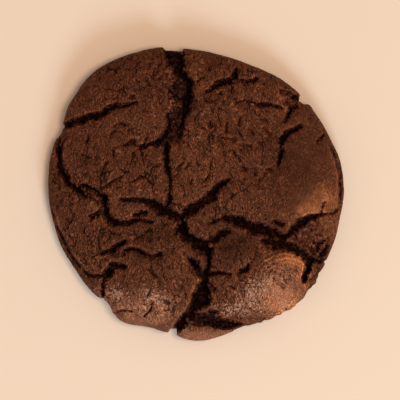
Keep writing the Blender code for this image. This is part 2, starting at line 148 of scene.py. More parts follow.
# %% Cracks
CRACKS = {  # depth, bite into the rim, and points of x, y, half width
    "north_mouth": (7.4, 1.0, (
        (-5.7, 41.0, 2.6), (-5.7, 37.5, 2.7), (-5.3, 34.5, 2.3), (-4.5, 32.4, 1.7),
        (-3.2, 31.0, 0.9),
    )),
    "north_gorge_bed": (7.2, 0.0, (
        (-3.4, 30.9, 0.9), (-1.8, 29.3, 1.4), (-2.0, 26.8, 1.1), (-2.4, 24.5, 1.3),
        (-2.9, 22.0, 1.3), (-3.4, 19.8, 0.8), (-4.2, 17.6, 0.5), (-5.4, 16.0, 0.3),
    )),
    "north_gorge_shelf": (2.65, 0.0, ((-3.9, 28.6, 2.0), (-4.3, 26.8, 2.9))),
    "north_gorge_crumbs": (1.5, 0.0, (
        (-4.0, 31.0, 1.9), (-4.3, 29.4, 2.7), (-4.6, 24.8, 2.8), (-5.3, 22.4, 2.1),
    )),
    "north_gorge_floor": (2.45, 0.0, (
        (-4.8, 20.8, 2.2), (-5.2, 18.4, 2.6), (-6.0, 16.2, 2.9), (-7.8, 14.6, 2.1),
        (-9.8, 13.4, 1.1), (-13.7, 12.5, 0.3),
    )),
    "north_gorge_foot": (3.6, 0.0, (
        (-7.2, 21.2, 0.4), (-7.2, 18.8, 0.6), (-7.9, 16.6, 0.6), (-9.2, 14.6, 0.7),
        (-10.5, 13.3, 0.8), (-12.9, 12.6, 0.5), (-15.0, 12.4, 0.2),
    )),
    "centre_fissure": (4.8, 0.0, (
        (-8.2, 13.2, 0.8), (-7.8, 10.3, 0.75), (-7.7, 8.2, 0.6), (-7.2, 5.9, 0.45),
        (-6.7, 3.5, 0.35), (-6.85, 1.5, 0.4), (-7.0, -0.5, 0.5), (-7.5, -3.2, 0.65),
    )),
    "centre_twig": (2.2, 0.0, ((-6.6, 3.6, 0.35), (-5.0, 4.7, 0.25))),
    "north_west_gash": (4.8, 0.5, (
        (-38.8, 16.8, 0.6), (-35.0, 17.9, 0.65), (-31.4, 19.2, 0.95), (-28.0, 19.9, 0.95),
        (-25.3, 20.8, 0.85), (-22.6, 22.4, 0.75), (-20.4, 23.3, 0.65), (-17.6, 23.3, 0.45),
        (-15.6, 24.2, 0.2),
    )),
    "west_tear": (4.8, 0.3, (
        (-36.4, 14.6, 0.7), (-36.6, 12.6, 0.7), (-36.1, 9.9, 0.7), (-35.5, 7.2, 0.95),
        (-34.6, 5.1, 0.9), (-33.7, 2.8, 0.6), (-31.7, 1.8, 0.7), (-29.6, 0.4, 0.6),
        (-28.8, -0.6, 0.3),
    )),
    "west_plate_edge": (5.0, 0.0, (
        (-30.6, 2.2, 0.3), (-28.4, 2.4, 0.45), (-26.0, 1.1, 0.6), (-24.0, -1.0, 0.6),
        (-23.8, -3.4, 0.65), (-23.3, -5.4, 0.85), (-21.9, -7.6, 0.85), (-18.2, -7.7, 0.6),
        (-14.8, -6.7, 0.4), (-11.6, -7.4, 0.2),
    )),
    "trunk_corner": (5.2, 0.0, (
        (-1.6, -17.0, 0.5), (-0.2, -18.6, 0.9), (1.2, -20.3, 1.1), (2.2, -21.8, 1.0),
    )),
    "trunk_twig": (3.8, 0.0, (
        (2.8, -21.2, 0.8), (4.6, -21.0, 0.6), (7.0, -21.0, 0.45), (9.0, -21.3, 0.2),
    )),
    "centre_west_fissure": (5.2, 0.0, (
        (-20.0, -1.5, 0.3), (-15.0, -1.5, 0.5), (-13.2, -2.0, 0.9), (-11.2, -2.7, 1.2),
        (-8.9, -4.0, 1.4), (-6.5, -5.7, 1.3), (-4.2, -5.9, 1.2),
    )),
    "centre_east_fissure": (5.2, 0.0, (
        (-4.2, -5.9, 1.1), (0.2, -3.2, 1.25), (3.0, -1.2, 1.2), (5.6, 1.6, 1.0),
        (8.4, 3.8, 0.4),
    )),
    "south_trunk": (6.4, 1.6, (
        (-4.2, -5.9, 1.0), (-3.4, -7.6, 0.8), (-4.1, -9.3, 1.5), (-2.4, -11.3, 1.4),
        (0.9, -13.4, 1.6), (3.0, -14.6, 1.4), (3.2, -16.4, 0.7), (3.2, -18.6, 0.5),
        (2.6, -20.8, 0.9), (2.3, -22.6, 1.0), (1.8, -25.0, 1.8), (1.2, -27.5, 2.4),
        (-0.5, -29.3, 1.1), (-1.4, -31.2, 1.4), (-3.3, -33.2, 1.3), (-4.8, -35.2, 1.1), (-6.2, -37.0, 0.9),
        (-7.4, -40.0, 0.8),
    )),
    "south_shelf_crack": (4.8, 0.2, (
        (-2.0, -32.0, 1.1), (1.6, -32.6, 1.5), (5.2, -33.4, 1.75), (9.0, -34.5, 1.45),
        (12.4, -35.2, 0.7),
    )),
    "south_pit": (3.4, 0.0, ((3.4, -30.8, 0.4), (5.4, -31.1, 0.5))),
    "east_fissure": (5.6, 0.0, (
        (3.2, -7.8, 0.12), (6.2, -6.5, 0.2), (7.2, -6.2, 0.7), (11.9, -7.4, 1.3), (14.4, -8.7, 1.2),
        (17.6, -9.3, 1.5), (20.3, -10.3, 1.3), (22.0, -11.2, 0.9), (23.4, -11.5, 0.8),
        (24.8, -10.5, 0.9), (25.9, -9.0, 1.0), (27.6, -7.7, 1.1), (30.4, -6.4, 0.8),
        (33.1, -5.6, 0.4),
    )),
    "east_fissure_shelf": (1.3, 0.0, ((26.6, -10.0, 1.2), (28.8, -8.8, 1.4), (31.2, -7.4, 1.0))),
    "east_rim_crack": (2.0, 0.0, (
        (33.1, -5.5, 0.3), (34.8, -5.3, 0.15), (36.0, -4.9, 0.3), (37.0, -4.2, 0.25),
        (38.6, -3.4, 0.2),
    )),
    "east_twig": (1.8, 0.0, ((32.9, -5.4, 0.3), (33.1, -3.9, 0.25), (34.0, -1.9, 0.15))),
    "east_plate_pit": (3.4, 0.0, ((20.9, -7.3, 0.6), (22.8, -7.9, 0.45))),
    "shard_edge": (4.2, 0.0, ((1.1, -13.7, 0.6), (5.0, -11.9, 0.9), (8.2, -9.8, 0.6))),
    "north_east_nick": (5.0, 0.0, (
        (2.3, 26.6, 0.2), (4.1, 27.4, 0.5), (5.5, 28.4, 0.8), (8.3, 29.2, 0.9),
        (9.9, 30.3, 0.9), (10.4, 32.5, 0.5),
    )),
    "rim_pit": (4.8, 0.4, ((30.4, 26.2, 0.6), (27.6, 25.4, 0.95), (25.7, 25.5, 0.8))),
    "rim_pit_floor": (1.9, 0.0, ((26.8, 24.6, 1.4), (25.6, 23.8, 1.3), (23.9, 24.4, 0.9))),
    "rim_pit_end": (4.8, 0.0, ((26.2, 22.6, 0.5), (25.2, 22.2, 0.7), (24.7, 21.6, 0.35))),
    "rim_pit_line": (3.2, 0.0, ((24.6, 21.2, 0.35), (23.9, 20.0, 0.4), (23.2, 18.9, 0.25))),
    "east_tick": (4.6, 0.0, (
        (27.4, 17.7, 0.35), (25.4, 16.3, 0.6), (23.5, 15.3, 0.75), (22.4, 14.0, 0.7),
        (22.1, 12.2, 0.5), (22.5, 11.0, 0.55), (21.9, 8.2, 0.35), (21.6, 7.2, 0.2),
    )),
    "south_west_pit": (4.8, 0.0, (
        (-22.4, -18.6, 0.5), (-20.8, -18.9, 0.85), (-19.3, -19.2, 0.6),
    )),
    "south_west_hole": (4.8, 0.0, ((-22.0, -19.9, 0.8), (-23.1, -20.9, 1.2))),
    "south_west_line": (4.4, 0.0, (
        (-29.6, -20.3, 0.3), (-27.4, -21.4, 0.4), (-25.0, -21.6, 0.4), (-23.1, -20.9, 0.5),
    )),
    "south_west_notch": (4.4, 0.3, (
        (-23.8, -21.6, 0.6), (-24.5, -23.0, 0.45), (-24.7, -25.4, 0.4), (-24.6, -29.0, 0.3),
    )),
    "west_wrinkle": (4.4, 0.0, (
        (-25.0, -15.7, 0.3), (-22.3, -14.8, 0.75), (-20.8, -13.6, 0.8), (-18.9, -12.6, 0.35),
    )),
    "south_west_wrinkle": (4.6, 0.0, (
        (-19.2, -14.8, 0.3), (-16.5, -14.8, 0.6), (-14.8, -15.0, 0.55), (-13.2, -15.8, 0.4),
        (-11.5, -16.5, 0.4), (-9.5, -16.0, 0.25),
    )),
    "bulge_gully": (2.9, 0.0, (
        (18.0, -12.4, 0.8), (21.2, -13.3, 1.3), (24.4, -13.6, 1.4), (27.4, -15.3, 1.3),
        (29.6, -17.2, 1.3),
    )),
    "bulge_gap": (5.2, 0.0, (
        (28.6, -16.4, 0.7), (30.0, -17.4, 1.0), (29.4, -19.6, 1.1), (28.7, -21.6, 0.95),
        (28.2, -23.4, 0.5),
    )),
    "bulge_mouth": (4.2, 0.4, ((30.4, -17.6, 0.8), (33.5, -17.9, 0.6), (37.5, -19.6, 0.6))),
    "east_hollow": (1.4, 0.0, ((25.0, -12.4, 1.2), (29.5, -11.0, 2.8), (31.6, -13.6, 2.6))),
    "east_ring": (3.6, 0.0, ((32.1, -14.5, 0.5), (32.1, -13.2, 0.6), (33.3, -12.4, 0.5))),
    "east_ring_end": (3.8, 0.0, ((34.4, -13.8, 0.6), (35.1, -14.3, 0.5))),
    "east_ring_pit": (4.8, 0.0, ((32.6, -16.0, 0.8), (34.2, -15.1, 0.9))),
    "north_hair": (4.4, 0.0, (
        (11.4, 29.8, 0.3), (12.8, 29.4, 0.45), (15.2, 29.4, 0.45), (15.9, 30.1, 0.3),
    )),
    "north_east_hair": (4.2, 0.0, (
        (12.6, 24.4, 0.08), (15.6, 23.4, 0.2), (17.4, 23.5, 0.5), (19.4, 23.5, 0.5),
        (21.2, 23.0, 0.3), (22.9, 22.4, 0.15),
    )),
    "east_rim_hair": (2.4, 0.0, ((33.4, 15.7, 0.3), (31.9, 13.5, 0.4))),
    "lobe_hair": (2.4, 0.0, ((-11.3, -28.4, 0.15), (-11.9, -30.4, 0.25), (-13.6, -32.0, 0.2))),
    "bulge_wrinkle": (1.0, 0.0, ((19.8, -19.9, 0.3), (22.6, -21.2, 0.4), (24.0, -23.4, 0.3))),
    "bulge_wrinkle_low": (1.0, 0.0, ((20.0, -22.0, 0.3), (21.8, -23.5, 0.45), (23.2, -24.8, 0.3))),
    "bulge_wrinkle_high": (0.9, 0.0, ((21.3, -19.3, 0.25), (23.5, -20.4, 0.35), (24.8, -22.3, 0.25))),
    "lobe_top_hair": (1.8, 0.0, (
        (-12.6, -19.8, 0.2), (-10.3, -21.8, 0.22), (-9.6, -23.6, 0.15),
    )),
    "rim_pit_top": (2.0, 0.0, ((22.6, 26.8, 0.5), (24.4, 26.4, 0.65))),
    "shard_hair": (4.4, 0.0, (
        (13.8, -18.4, 0.3), (13.1, -19.6, 0.6), (11.8, -20.1, 0.55), (11.2, -21.6, 0.25),
    )),
    "west_hair": (2.2, 0.0, ((-24.0, -4.7, 0.4), (-26.4, -5.5, 0.45), (-27.9, -6.9, 0.3))),
    "shelf_pit": (3.4, 0.0, ((-15.9, -5.6, 0.6), (-13.4, -4.8, 0.7))),
    "south_nick": (2.4, 0.0, ((4.2, -23.6, 0.6), (4.8, -25.2, 0.5))),
}
print(len(CRACKS), "cracks along", sum(len(route) for *_, route in CRACKS.values()), "points")

# %% Nicks and feet
NICK_DEPTH = 2.4
NICKS = (  # short dark nicks in the crust: from x, y to x, y, half width
    (3.8, 19.2, 3.6, 17.6, 0.25), (8.5, 18.8, 7.9, 16.3, 0.22), (11.9, 20.2, 11.2, 17.7, 0.18),
    (13.8, 17.1, 15.2, 15.7, 0.22), (6.5, 14.7, 10.3, 14.4, 0.15), (11.4, 12.7, 14.6, 12.5, 0.15),
    (9.2, 11.6, 10.6, 10.1, 0.32), (10.6, 10.1, 11.6, 8.6, 0.22), (11.7, 7.3, 12.7, 6.2, 0.29),
    (4.1, 9.4, 3.7, 6.5, 0.22), (3.5, 5.4, 2.7, 3.5, 0.18), (15.2, 7.0, 15.4, 4.8, 0.2),
    (16.5, 4.3, 16.6, 2.4, 0.22), (18.4, 6.2, 19.6, 6.3, 0.2), (-28.3, 15.0, -28.4, 13.6, 0.29),
    (-22.9, 15.6, -21.4, 16.4, 0.16), (-19.3, 19.0, -18.5, 18.0, 0.25),
    (-21.9, 17.8, -19.2, 18.6, 0.16), (-18.2, 13.3, -16.2, 14.0, 0.25),
    (-16.8, 11.0, -16.8, 9.8, 0.25), (-30.0, 10.5, -27.9, 9.5, 0.16),
    (-23.6, 8.5, -24.8, 5.1, 0.18), (-19.5, 4.5, -24.6, 1.8, 0.15), (-16.5, 3.2, -13.8, 4.8, 0.2),
    (-3.2, 6.6, -1.8, 8.2, 0.15), (-16.3, -12.0, -12.3, -9.3, 0.16), (8.4, -24.0, 10.0, -25.0, 0.22),
    (-15.8, 26.0, -17.2, 25.1, 0.29), (-10.6, 33.0, -11.4, 30.4, 0.18), (17.9, 17.4, 19.6, 15.6, 0.2),
    (-13.4, 30.6, -12.7, 28.6, 0.18), (-27.6, -0.6, -25.6, -2.6, 0.15), (-21.4, -31.1, -17.0, -30.9, 0.15),
)

FEET = {  # bearings from and to, setback of the crust at each end, height at the seam
    "west_foot": (154.0, 178.0, 2.2, 3.2, 6.4),
    "south_west_foot": (180.0, 223.0, 0.3, 2.4, 5.6),
    "south_foot": (259.0, 291.0, 5.4, 3.4, 6.6),
    "east_foot": (-9.0, 24.0, 1.15, 1.05, 5.8),
}
print(len(NICKS), "nicks and", len(FEET), "feet")

# %% [markdown]
# ## The skin as one function
#
# The next cells lead up to `skin_shape`, which takes points of a flat round disc and says
# where each one goes on the baked cookie. Everything happens to whole arrays at once, so a
# hundred thousand points take a few seconds. Noise comes first, because nothing on dough is
# even. It has seeds, so that the cookie comes out the same each time.

# %% Seeded noise
CRUMB_EDGES = ((1.5, 0.6), (0.8, 0.5))  # size of the crumbs at an edge, how far they stand out
CRUMB_SEED = 12.7
CRUMB_STRIDE = 3.7  # neighbouring crumbs read the noise this far apart, so each one differs


def wavy(points, waves, seed):
    """Seeded noise at each point: the sum over (wavelength, amount) of waves."""
    start = Vector((seed, seed, 0.0))
    total = np.zeros(len(points))
    for wavelength, amount in waves:
        total += amount * np.array([noise.noise(Vector(p) + start) for p in points / wavelength])
    return total


def crumb_edges(x, y):
    """How far the crumb at each place stands back from a crack. It changes crumb by crumb."""
    back = np.zeros(len(x))
    for size, amount in CRUMB_EDGES:
        spots = np.stack([x, y, np.full(len(x), CRUMB_SEED)], axis=1) / size
        middles = (noise.voronoi(Vector(spot))[1][0] for spot in spots)
        back += amount * np.array([noise.noise(middle * CRUMB_STRIDE) for middle in middles])
    return back


print("four crumbs stand back by", crumb_edges(np.arange(4.0), np.zeros(4)).round(2), "mm")

# %% [markdown]
# A torn edge crumbles, the more so the wider the crack gapes. Its wall drops steeply. On
# the side that faces the light a narrow ledge hangs in the crack, the edge is cleaner, and
# the lip catches a bright line. All of this follows from one measure: how far a place lies
# from the crack's route.

# %% Torn places
WALL_RUN = 0.24  # how far a crack's wall takes to go down
LEDGE_SHARE = 0.3  # share of the depth at which a torn ledge hangs beside the crack
LEDGE_TOWARDS = (-0.12, 0.2)  # the ledge lies on this side, in millimetres
CLEAN_SHARE = 0.65  # how much cleaner the edge is on that side
CRUMBLY_FROM = 1.3  # half width of a crack whose crumbs stand out fully
SUNLIT_RUN = 0.35  # width of the bright line on the lip that faces the light
SUNLIT_DEPTH = 4.0  # depth of a crack whose lip is fully bright
NICK_TIP = 0.1  # half width at a nick's first end


def route_distance(x, y, route):
    """For each place, how far it lies outside a crack, negative inside, and how crumbly the
    crack is there."""
    nearest, crumbly = np.full(len(x), np.inf), np.zeros(len(x))
    for (x0, y0, w0), (x1, y1, w1) in zip(route, route[1:]):
        run, rise = x1 - x0, y1 - y0
        t = np.clip(((x - x0) * run + (y - y0) * rise) / (run * run + rise * rise), 0.0, 1.0)
        half = w0 + t * (w1 - w0)
        away = np.hypot(x - x0 - t * run, y - y0 - t * rise) - half
        crumbly = np.where(away < nearest, np.minimum(half / CRUMBLY_FROM, 1.0), crumbly)
        nearest = np.minimum(nearest, away)
    return nearest, crumbly


def torn(x, y):
    """At each place: a crack's depth, its bite into the rim, the way to the nearest edge,
    and how much the place is a lip that faces the light."""
    drop, bite, sunlit = (np.zeros(len(x)) for _ in range(3))
    edge = np.full(len(x), np.inf)
    ledge_x, ledge_y = LEDGE_TOWARDS
    back = crumb_edges(x, y)
    nicks = [(NICK_DEPTH, 0.0, ((x0, y0, NICK_TIP), (x1, y1, half)))
             for x0, y0, x1, y1, half in NICKS]
    for depth, mouth, route in [*CRACKS.values(), *nicks]:
        away, crumbly = route_distance(x, y, route)
        beside, _ = route_distance(x - ledge_x, y - ledge_y, route)
        facing = np.clip((away - beside) / np.hypot(ledge_x, ledge_y), 0.0, 1.0)
        stands_out = back * crumbly * (1.0 - CLEAN_SHARE * facing)
        away, beside = away + stands_out, beside + stands_out
        fallen = smooth_step(-WALL_RUN / 2, WALL_RUN / 2, -away)
        ledge = LEDGE_SHARE * smooth_step(-WALL_RUN / 2, WALL_RUN / 2, -beside)
        drop = np.maximum(drop, depth * np.maximum(fallen, ledge))
        bite = np.maximum(bite, mouth * fallen)
        edge = np.minimum(edge, np.minimum(away, beside))
        near = np.where(beside > 0.0, np.exp(-((beside / SUNLIT_RUN) ** 2)), 0.0)
        sunlit = np.maximum(sunlit, facing * near * min(depth / SUNLIT_DEPTH, 1.0))
    return drop, bite, np.maximum(edge, 0.0), sunlit


in_wide_crack = np.array([[1.2], [-27.5]])  # x, y
print("the lower crack sinks by", torn(*in_wide_crack)[0].round(2), "mm")

# %% [markdown]
# Swellings and finishes come in soft round patches, and one function adds them up. The
# bulge at the lower right stretched as it rose, so fine rings run round one side of it.

# %% Patches and rings
RINGS_ROUND = (23.5, -24.0)  # the bulge stretched into rings round this place
RING_SPACING = 1.15
RINGS_GROW, RINGS_FADE = (4.2, 6.2), (9.6, 8.6)  # radii between which the rings come and go
RINGS_SIDE = (-0.2, 0.5)  # and the sines of the bearing between which they come
CENTRE_CLEARANCE = 0.1  # keeps the sine from a division by nothing


def soft_patches(x, y, patches):
    """The sum over (x, y, reach_x, reach_y, amount) of soft round patches."""
    total = np.zeros(len(x))
    for at_x, at_y, reach_x, reach_y, amount in patches:
        total += amount * np.exp(-(((x - at_x) / reach_x) ** 2) - ((y - at_y) / reach_y) ** 2)
    return total


def stretch_rings(x, y, wobble):
    """Waves of -1 to 1 in rings on the toasted bulge, which fade inside, outside and behind."""
    from_x, from_y = x - RINGS_ROUND[0], y - RINGS_ROUND[1]
    away = np.hypot(from_x, from_y)
    shown = smooth_step(*RINGS_GROW, away) * smooth_step(*RINGS_FADE, away)
    shown *= smooth_step(*RINGS_SIDE, from_y / np.maximum(away, CENTRE_CLEARANCE))
    return shown * np.sin(2 * np.pi * (away + wobble) / RING_SPACING)


print("a ring every", RING_SPACING, "mm, up to", RINGS_FADE[0], "mm from", RINGS_ROUND)

# %% [markdown]
# Where late dough crept out, the crust ends in a seam above it. The seam opens in pits, its
# lip catches light, and the dough outside it lies lower than the crust would.

# %% Feet
FOOT_FADE = 0.3  # share of a foot's length over which each end fades
CRUST_OVER_FOOT = 6.0  # a foot this far above the widest line would be as tall as the crust
SEAM_DEPTH = 1.6
SEAM_HALF_WIDTH = 0.38
SEAM_LIP = 0.55  # how far the crust's lip stands back from the seam
SEAM_OPEN, SEAM_SHUT = 0.75, 0.3  # average and least share of that depth
SEAM_PITS = ((2.2, 1.7), (1.0, 0.6))  # wavelength, amount
PIT_SEED = 29.4


def feet(bearing, inset, z, places):
    """Lowers the skin outside each foot's seam to a ledge, and sinks the seam into pits.
    Also returns the lip above each seam."""
    above = np.maximum(z - WIDEST_HEIGHT, 0.0)
    pits = np.clip(SEAM_OPEN + wavy(places, SEAM_PITS, PIT_SEED), SEAM_SHUT, 1.0)
    lowered, seam, lip = (np.zeros(len(z)) for _ in range(3))
    for start, end, setback_start, setback_end, tall in FEET.values():
        along = np.mod(bearing - start, 360.0) / (end - start)
        inside = smooth_step(0.0, FOOT_FADE, along) * smooth_step(1.0, 1.0 - FOOT_FADE, along)
        setback = setback_start + (setback_end - setback_start) * np.clip(along, 0.0, 1.0)
        shown = inside * smooth_step(SEAM_HALF_WIDTH / 2, -SEAM_HALF_WIDTH / 2, inset - setback)
        flattening = np.clip(1.0 - (tall - WIDEST_HEIGHT) / CRUST_OVER_FOOT, 0.0, 1.0)
        lowered = np.maximum(lowered, shown * flattening * above)
        near_seam = np.exp(-(((inset - setback) / SEAM_HALF_WIDTH) ** 2))
        seam = np.maximum(seam, SEAM_DEPTH * inside * near_seam * pits)
        at_lip = np.exp(-(((inset - setback - SEAM_LIP) / SUNLIT_RUN) ** 2))
        lip = np.maximum(lip, inside * at_lip)
    return z - lowered - np.minimum(seam, above), np.clip(seam, 0.0, 1.0), lip


on_foot = np.array([[8.0], [0.3], [9.0]])  # bearing, inset, height
print("crust 9 mm high steps down to", feet(*on_foot, np.zeros((1, 3)))[0].round(2), "mm")

# %% [markdown]
# Now the whole skin. The plain dome rises between the cracks, where the dough pillowed the
# crust, and sinks at them. Where a crack runs out over the side it bites inwards instead,
# because a steep wall that sinks would only fold.

# %% The whole skin
LIP_DROP = 0.3
LIP_RUN = 0.6
PILLOW_RISE = 1.1
PILLOW_RUN = 4.0
RING_DEPTH = 0.18
CRUST_FADE = 0.6  # the swellings fade towards the widest line by this power of the height
SIDE_SQUEEZE = 0.6  # share of the height that noise reads, so it comes out longer down the side
SIDE_STARTS, SIDE_FULL = 0.945, 0.998  # shares of the rim's radius
FLOOR_LEFT = 1.5  # a crack leaves about this much dough under it
FULL_BITE = 0.6  # a crack that bites in this far is torn all down the side
FULL_DROP = 2.0  # and a place that sinks this far is fully torn
BLACK_FROM, BLACK_AT = 0.9, 3.2  # depths between which painted shade turns a torn place black
SEAM_TORN, SEAM_BLACK, SEAM_SUNLIT = 0.6, 0.75, 1.7  # a seam's torn look, black painted shade and bright lip, beside a crack's

EDGE_WANDER = ((4.5, 0.5), (1.6, 0.25))  # wavelength, amount
LUMPS = ((11.0, 0.6), (5.0, 0.24), (2.6, 0.08))
RIM_LUMPS = ((7.0, 0.3),)
RIM_CRAGS = ((2.4, 0.5), (1.1, 0.3))
CRAGGY_FROM, CRAGGY_TO = 288.0, 334.0  # bearings between which the rim is ragged
CRAGGY_FADE = 8.0  # degrees over which that comes and goes
PLAIN_CRAGS = 0.08  # share of the crags elsewhere
WANDER_SEEDS = (3.1, 47.7)
LUMP_SEED = 91.3
RIM_SEED = 18.9
CRAG_SEED = 63.2


def skin_shape(u, v):
    """Places of the skin in millimetres, and what its finish depends on, by name."""
    bearing = np.arctan2(v, u)
    outward_x, outward_y = np.cos(bearing), np.sin(bearing)
    bearing = np.degrees(bearing)
    rim = rim_radius(bearing)
    share_r, z = profile(np.hypot(u, v))
    x, y = outward_x * rim * share_r, outward_y * rim * share_r

    # Torn edges wander, so the cracks and seams are read a little to one side.
    places = np.stack([x, y, SIDE_SQUEEZE * z], axis=1)
    aside_x, aside_y = (wavy(places, EDGE_WANDER, seed) for seed in WANDER_SEEDS)
    drop, bite, way_to_edge, sunlit = torn(x + aside_x, y + aside_y)

    # The crust rises between the cracks, and its edges round down into them.
    over_side = np.clip((z - WIDEST_HEIGHT) / (CROWN_HEIGHT - WIDEST_HEIGHT), 0.0, 1.0)
    lip = LIP_DROP * np.exp(-way_to_edge / LIP_RUN)
    pillow = PILLOW_RISE * (1.0 - np.exp(-way_to_edge / PILLOW_RUN))
    risen = soft_patches(x, y, SWELLINGS.values()) + pillow - lip + wavy(places, LUMPS, LUMP_SEED)
    rings = stretch_rings(x, y, aside_x)
    z = z + over_side**CRUST_FADE * (risen + RING_DEPTH * rings)
    z, seam, seam_lip = feet(bearing, rim * (1.0 - share_r) + aside_x / 2, z, places)

    # A crack sinks the upper face, and bites inwards where it runs out over the side.
    sideness = np.where(over_side > 0.0, smooth_step(SIDE_STARTS, SIDE_FULL, share_r), 1.0)
    room = np.clip((z - FLOOR_LEFT) / (drop + FLOOR_LEFT), 0.0, 1.0)
    z = np.maximum(z - drop * room * (1.0 - sideness), 0.0)
    bearing = np.mod(bearing, 360.0)
    craggy = smooth_step(CRAGGY_FROM, CRAGGY_FROM + CRAGGY_FADE, bearing)
    craggy *= smooth_step(CRAGGY_TO, CRAGGY_TO - CRAGGY_FADE, bearing)
    crags = wavy(places, RIM_CRAGS, CRAG_SEED) * (PLAIN_CRAGS + (1.0 - PLAIN_CRAGS) * craggy)
    push = sideness * (wavy(places, RIM_LUMPS, RIM_SEED) + crags - bite)
    # Down the side a crack shows only where it bites in.
    shown = 1.0 - sideness * (1.0 - np.clip(bite / FULL_BITE, 0.0, 1.0))
    torn_share = shown * np.clip(np.maximum(drop / FULL_DROP, bite / FULL_BITE), 0.0, 1.0)
    # Painted shade: a torn place turns black as it gets deeper.
    black = shown * smooth_step(BLACK_FROM, BLACK_AT, drop)
    return x + outward_x * push, y + outward_y * push, z, {
        "fallen": np.maximum(torn_share, SEAM_TORN * seam),
        "deep": np.maximum(black, SEAM_BLACK * seam),
        "lip": np.exp(-way_to_edge / LIP_RUN),
        "sunlit": np.maximum(sunlit, SEAM_SUNLIT * seam_lip),
        "side": sideness,
        "rings": rings,
    }


print("the crown is", skin_shape(np.zeros(1), np.zeros(1))[2].round(2), "mm high")

# %% [markdown]
# ## The fine body
#
# A square grid pressed into a disc has no pole and almost even cells, so it is the sheet
# that the skin is made from. The underside is a coarser disc of the same kind. Bridging
# the two open edges closes the body without any flat lid.

# %% Make the closed body
SKIN_CELLS = 296  # cells along each side of the skin's grid
UNDERSIDE_CELLS = 74
UNDERSIDE_SHARE = 0.985  # the underside's disc, as a share of the outline on the ground
HOLLOW_WAVES = ((9.0, 0.22), (3.0, 0.10))  # air pockets pressed into the base
HOLLOW_SEED = 5.5
HOLLOWS_FADE = (0.97, 0.8)  # shares of the way out between which they set in
DISC_EDGE = 1.0 - 1e-6  # a point this far out lies on the disc's edge


def disc_of_square(a, b):
    return a * np.sqrt(1.0 - b * b / 2.0), b * np.sqrt(1.0 - a * a / 2.0)


def disc_sheet(bm, cells):
    """Adds a disc-shaped sheet of the unit radius. Returns its points and their (u, v)."""
    made = bmesh.ops.create_grid(bm, x_segments=cells, y_segments=cells, size=1.0)["verts"]
    square = np.array([vert.co for vert in made])
    return made, *disc_of_square(square[:, 0], square[:, 1])


def place(verts, x, y, z):
    for vert, *spot in zip(verts, x, y, z):
        vert.co = spot


def closed_body():
    """The fine cookie as a mesh in millimetres, with what each point is, as arrays."""
    bm = bmesh.new()
    skin, u, v = disc_sheet(bm, SKIN_CELLS)
    x, y, z, skin_facts = skin_shape(u, v)
    z = np.where(np.hypot(u, v) > DISC_EDGE, 0.0, z)
    place(skin, x, y, z)
    outer = [edge for edge in bm.edges if edge.is_boundary]

    base, base_u, base_v = disc_sheet(bm, UNDERSIDE_CELLS)
    bearing = np.arctan2(base_v, base_u)
    ground = np.array([v.co[:2] for v in {v for edge in outer for v in edge.verts}])
    order = np.argsort(np.arctan2(ground[:, 1], ground[:, 0]))
    reach = np.interp(
        bearing,
        np.arctan2(ground[order, 1], ground[order, 0]),
        np.hypot(ground[order, 0], ground[order, 1]),
        period=2 * np.pi,
    )
    share = np.hypot(base_u, base_v) * UNDERSIDE_SHARE
    base_x, base_y = np.cos(bearing) * reach * share, np.sin(bearing) * reach * share
    places = np.stack([base_x, base_y, np.zeros(len(base_x))], axis=1)
    hollow = np.clip(wavy(places, HOLLOW_WAVES, HOLLOW_SEED), 0.0, None)
    place(base, base_x, base_y, hollow * smooth_step(*HOLLOWS_FADE, share))
    inner = [edge for edge in bm.edges if edge.is_boundary and edge not in set(outer)]
    bmesh.ops.bridge_loops(bm, edges=outer + inner)
    bmesh.ops.recalc_face_normals(bm, faces=bm.faces)
    open_edges = sum(edge.is_boundary for edge in bm.edges)
    mesh = bpy.data.meshes.new("cookie_crust")
    bm.to_mesh(mesh)
    bm.free()
    print(len(mesh.vertices), "points,", len(mesh.polygons), "faces,", open_edges, "open edges")
    nothing = np.zeros(len(base_x))
    body_facts = {name: np.append(values, nothing) for name, values in skin_facts.items()}
    body_facts["disc_u"], body_facts["disc_v"] = np.append(u, base_u), np.append(v, base_v)
    body_facts["under"] = np.append(np.zeros(len(u)), nothing + 1.0)
    return mesh, body_facts


body_mesh, facts = closed_body()

# %% [markdown]
# The rule places the cookie about its own centre, so the finished mesh is slid until its
# box stands in the middle of the solid's box, and turned from millimetres into metres.

# %% Set the body on the solid's place
places = np.empty(3 * len(body_mesh.vertices), np.float32)
body_mesh.vertices.foreach_get("co", places)
places = places.reshape(-1, 3).astype(float)
middle = (places.min(axis=0) + places.max(axis=0)) / 2
body_mm = places - (middle[0], middle[1], 0.0)
in_metres = body_mm * MM + ((solid_low + solid_high) / 2 * Vector((1, 1, 0)))
body_mesh.vertices.foreach_set("co", in_metres.astype(np.float32).ravel())
body_mesh.update()
print("slid by", middle[:2].round(2), "mm; height", places[:, 2].max().round(2), "mm")
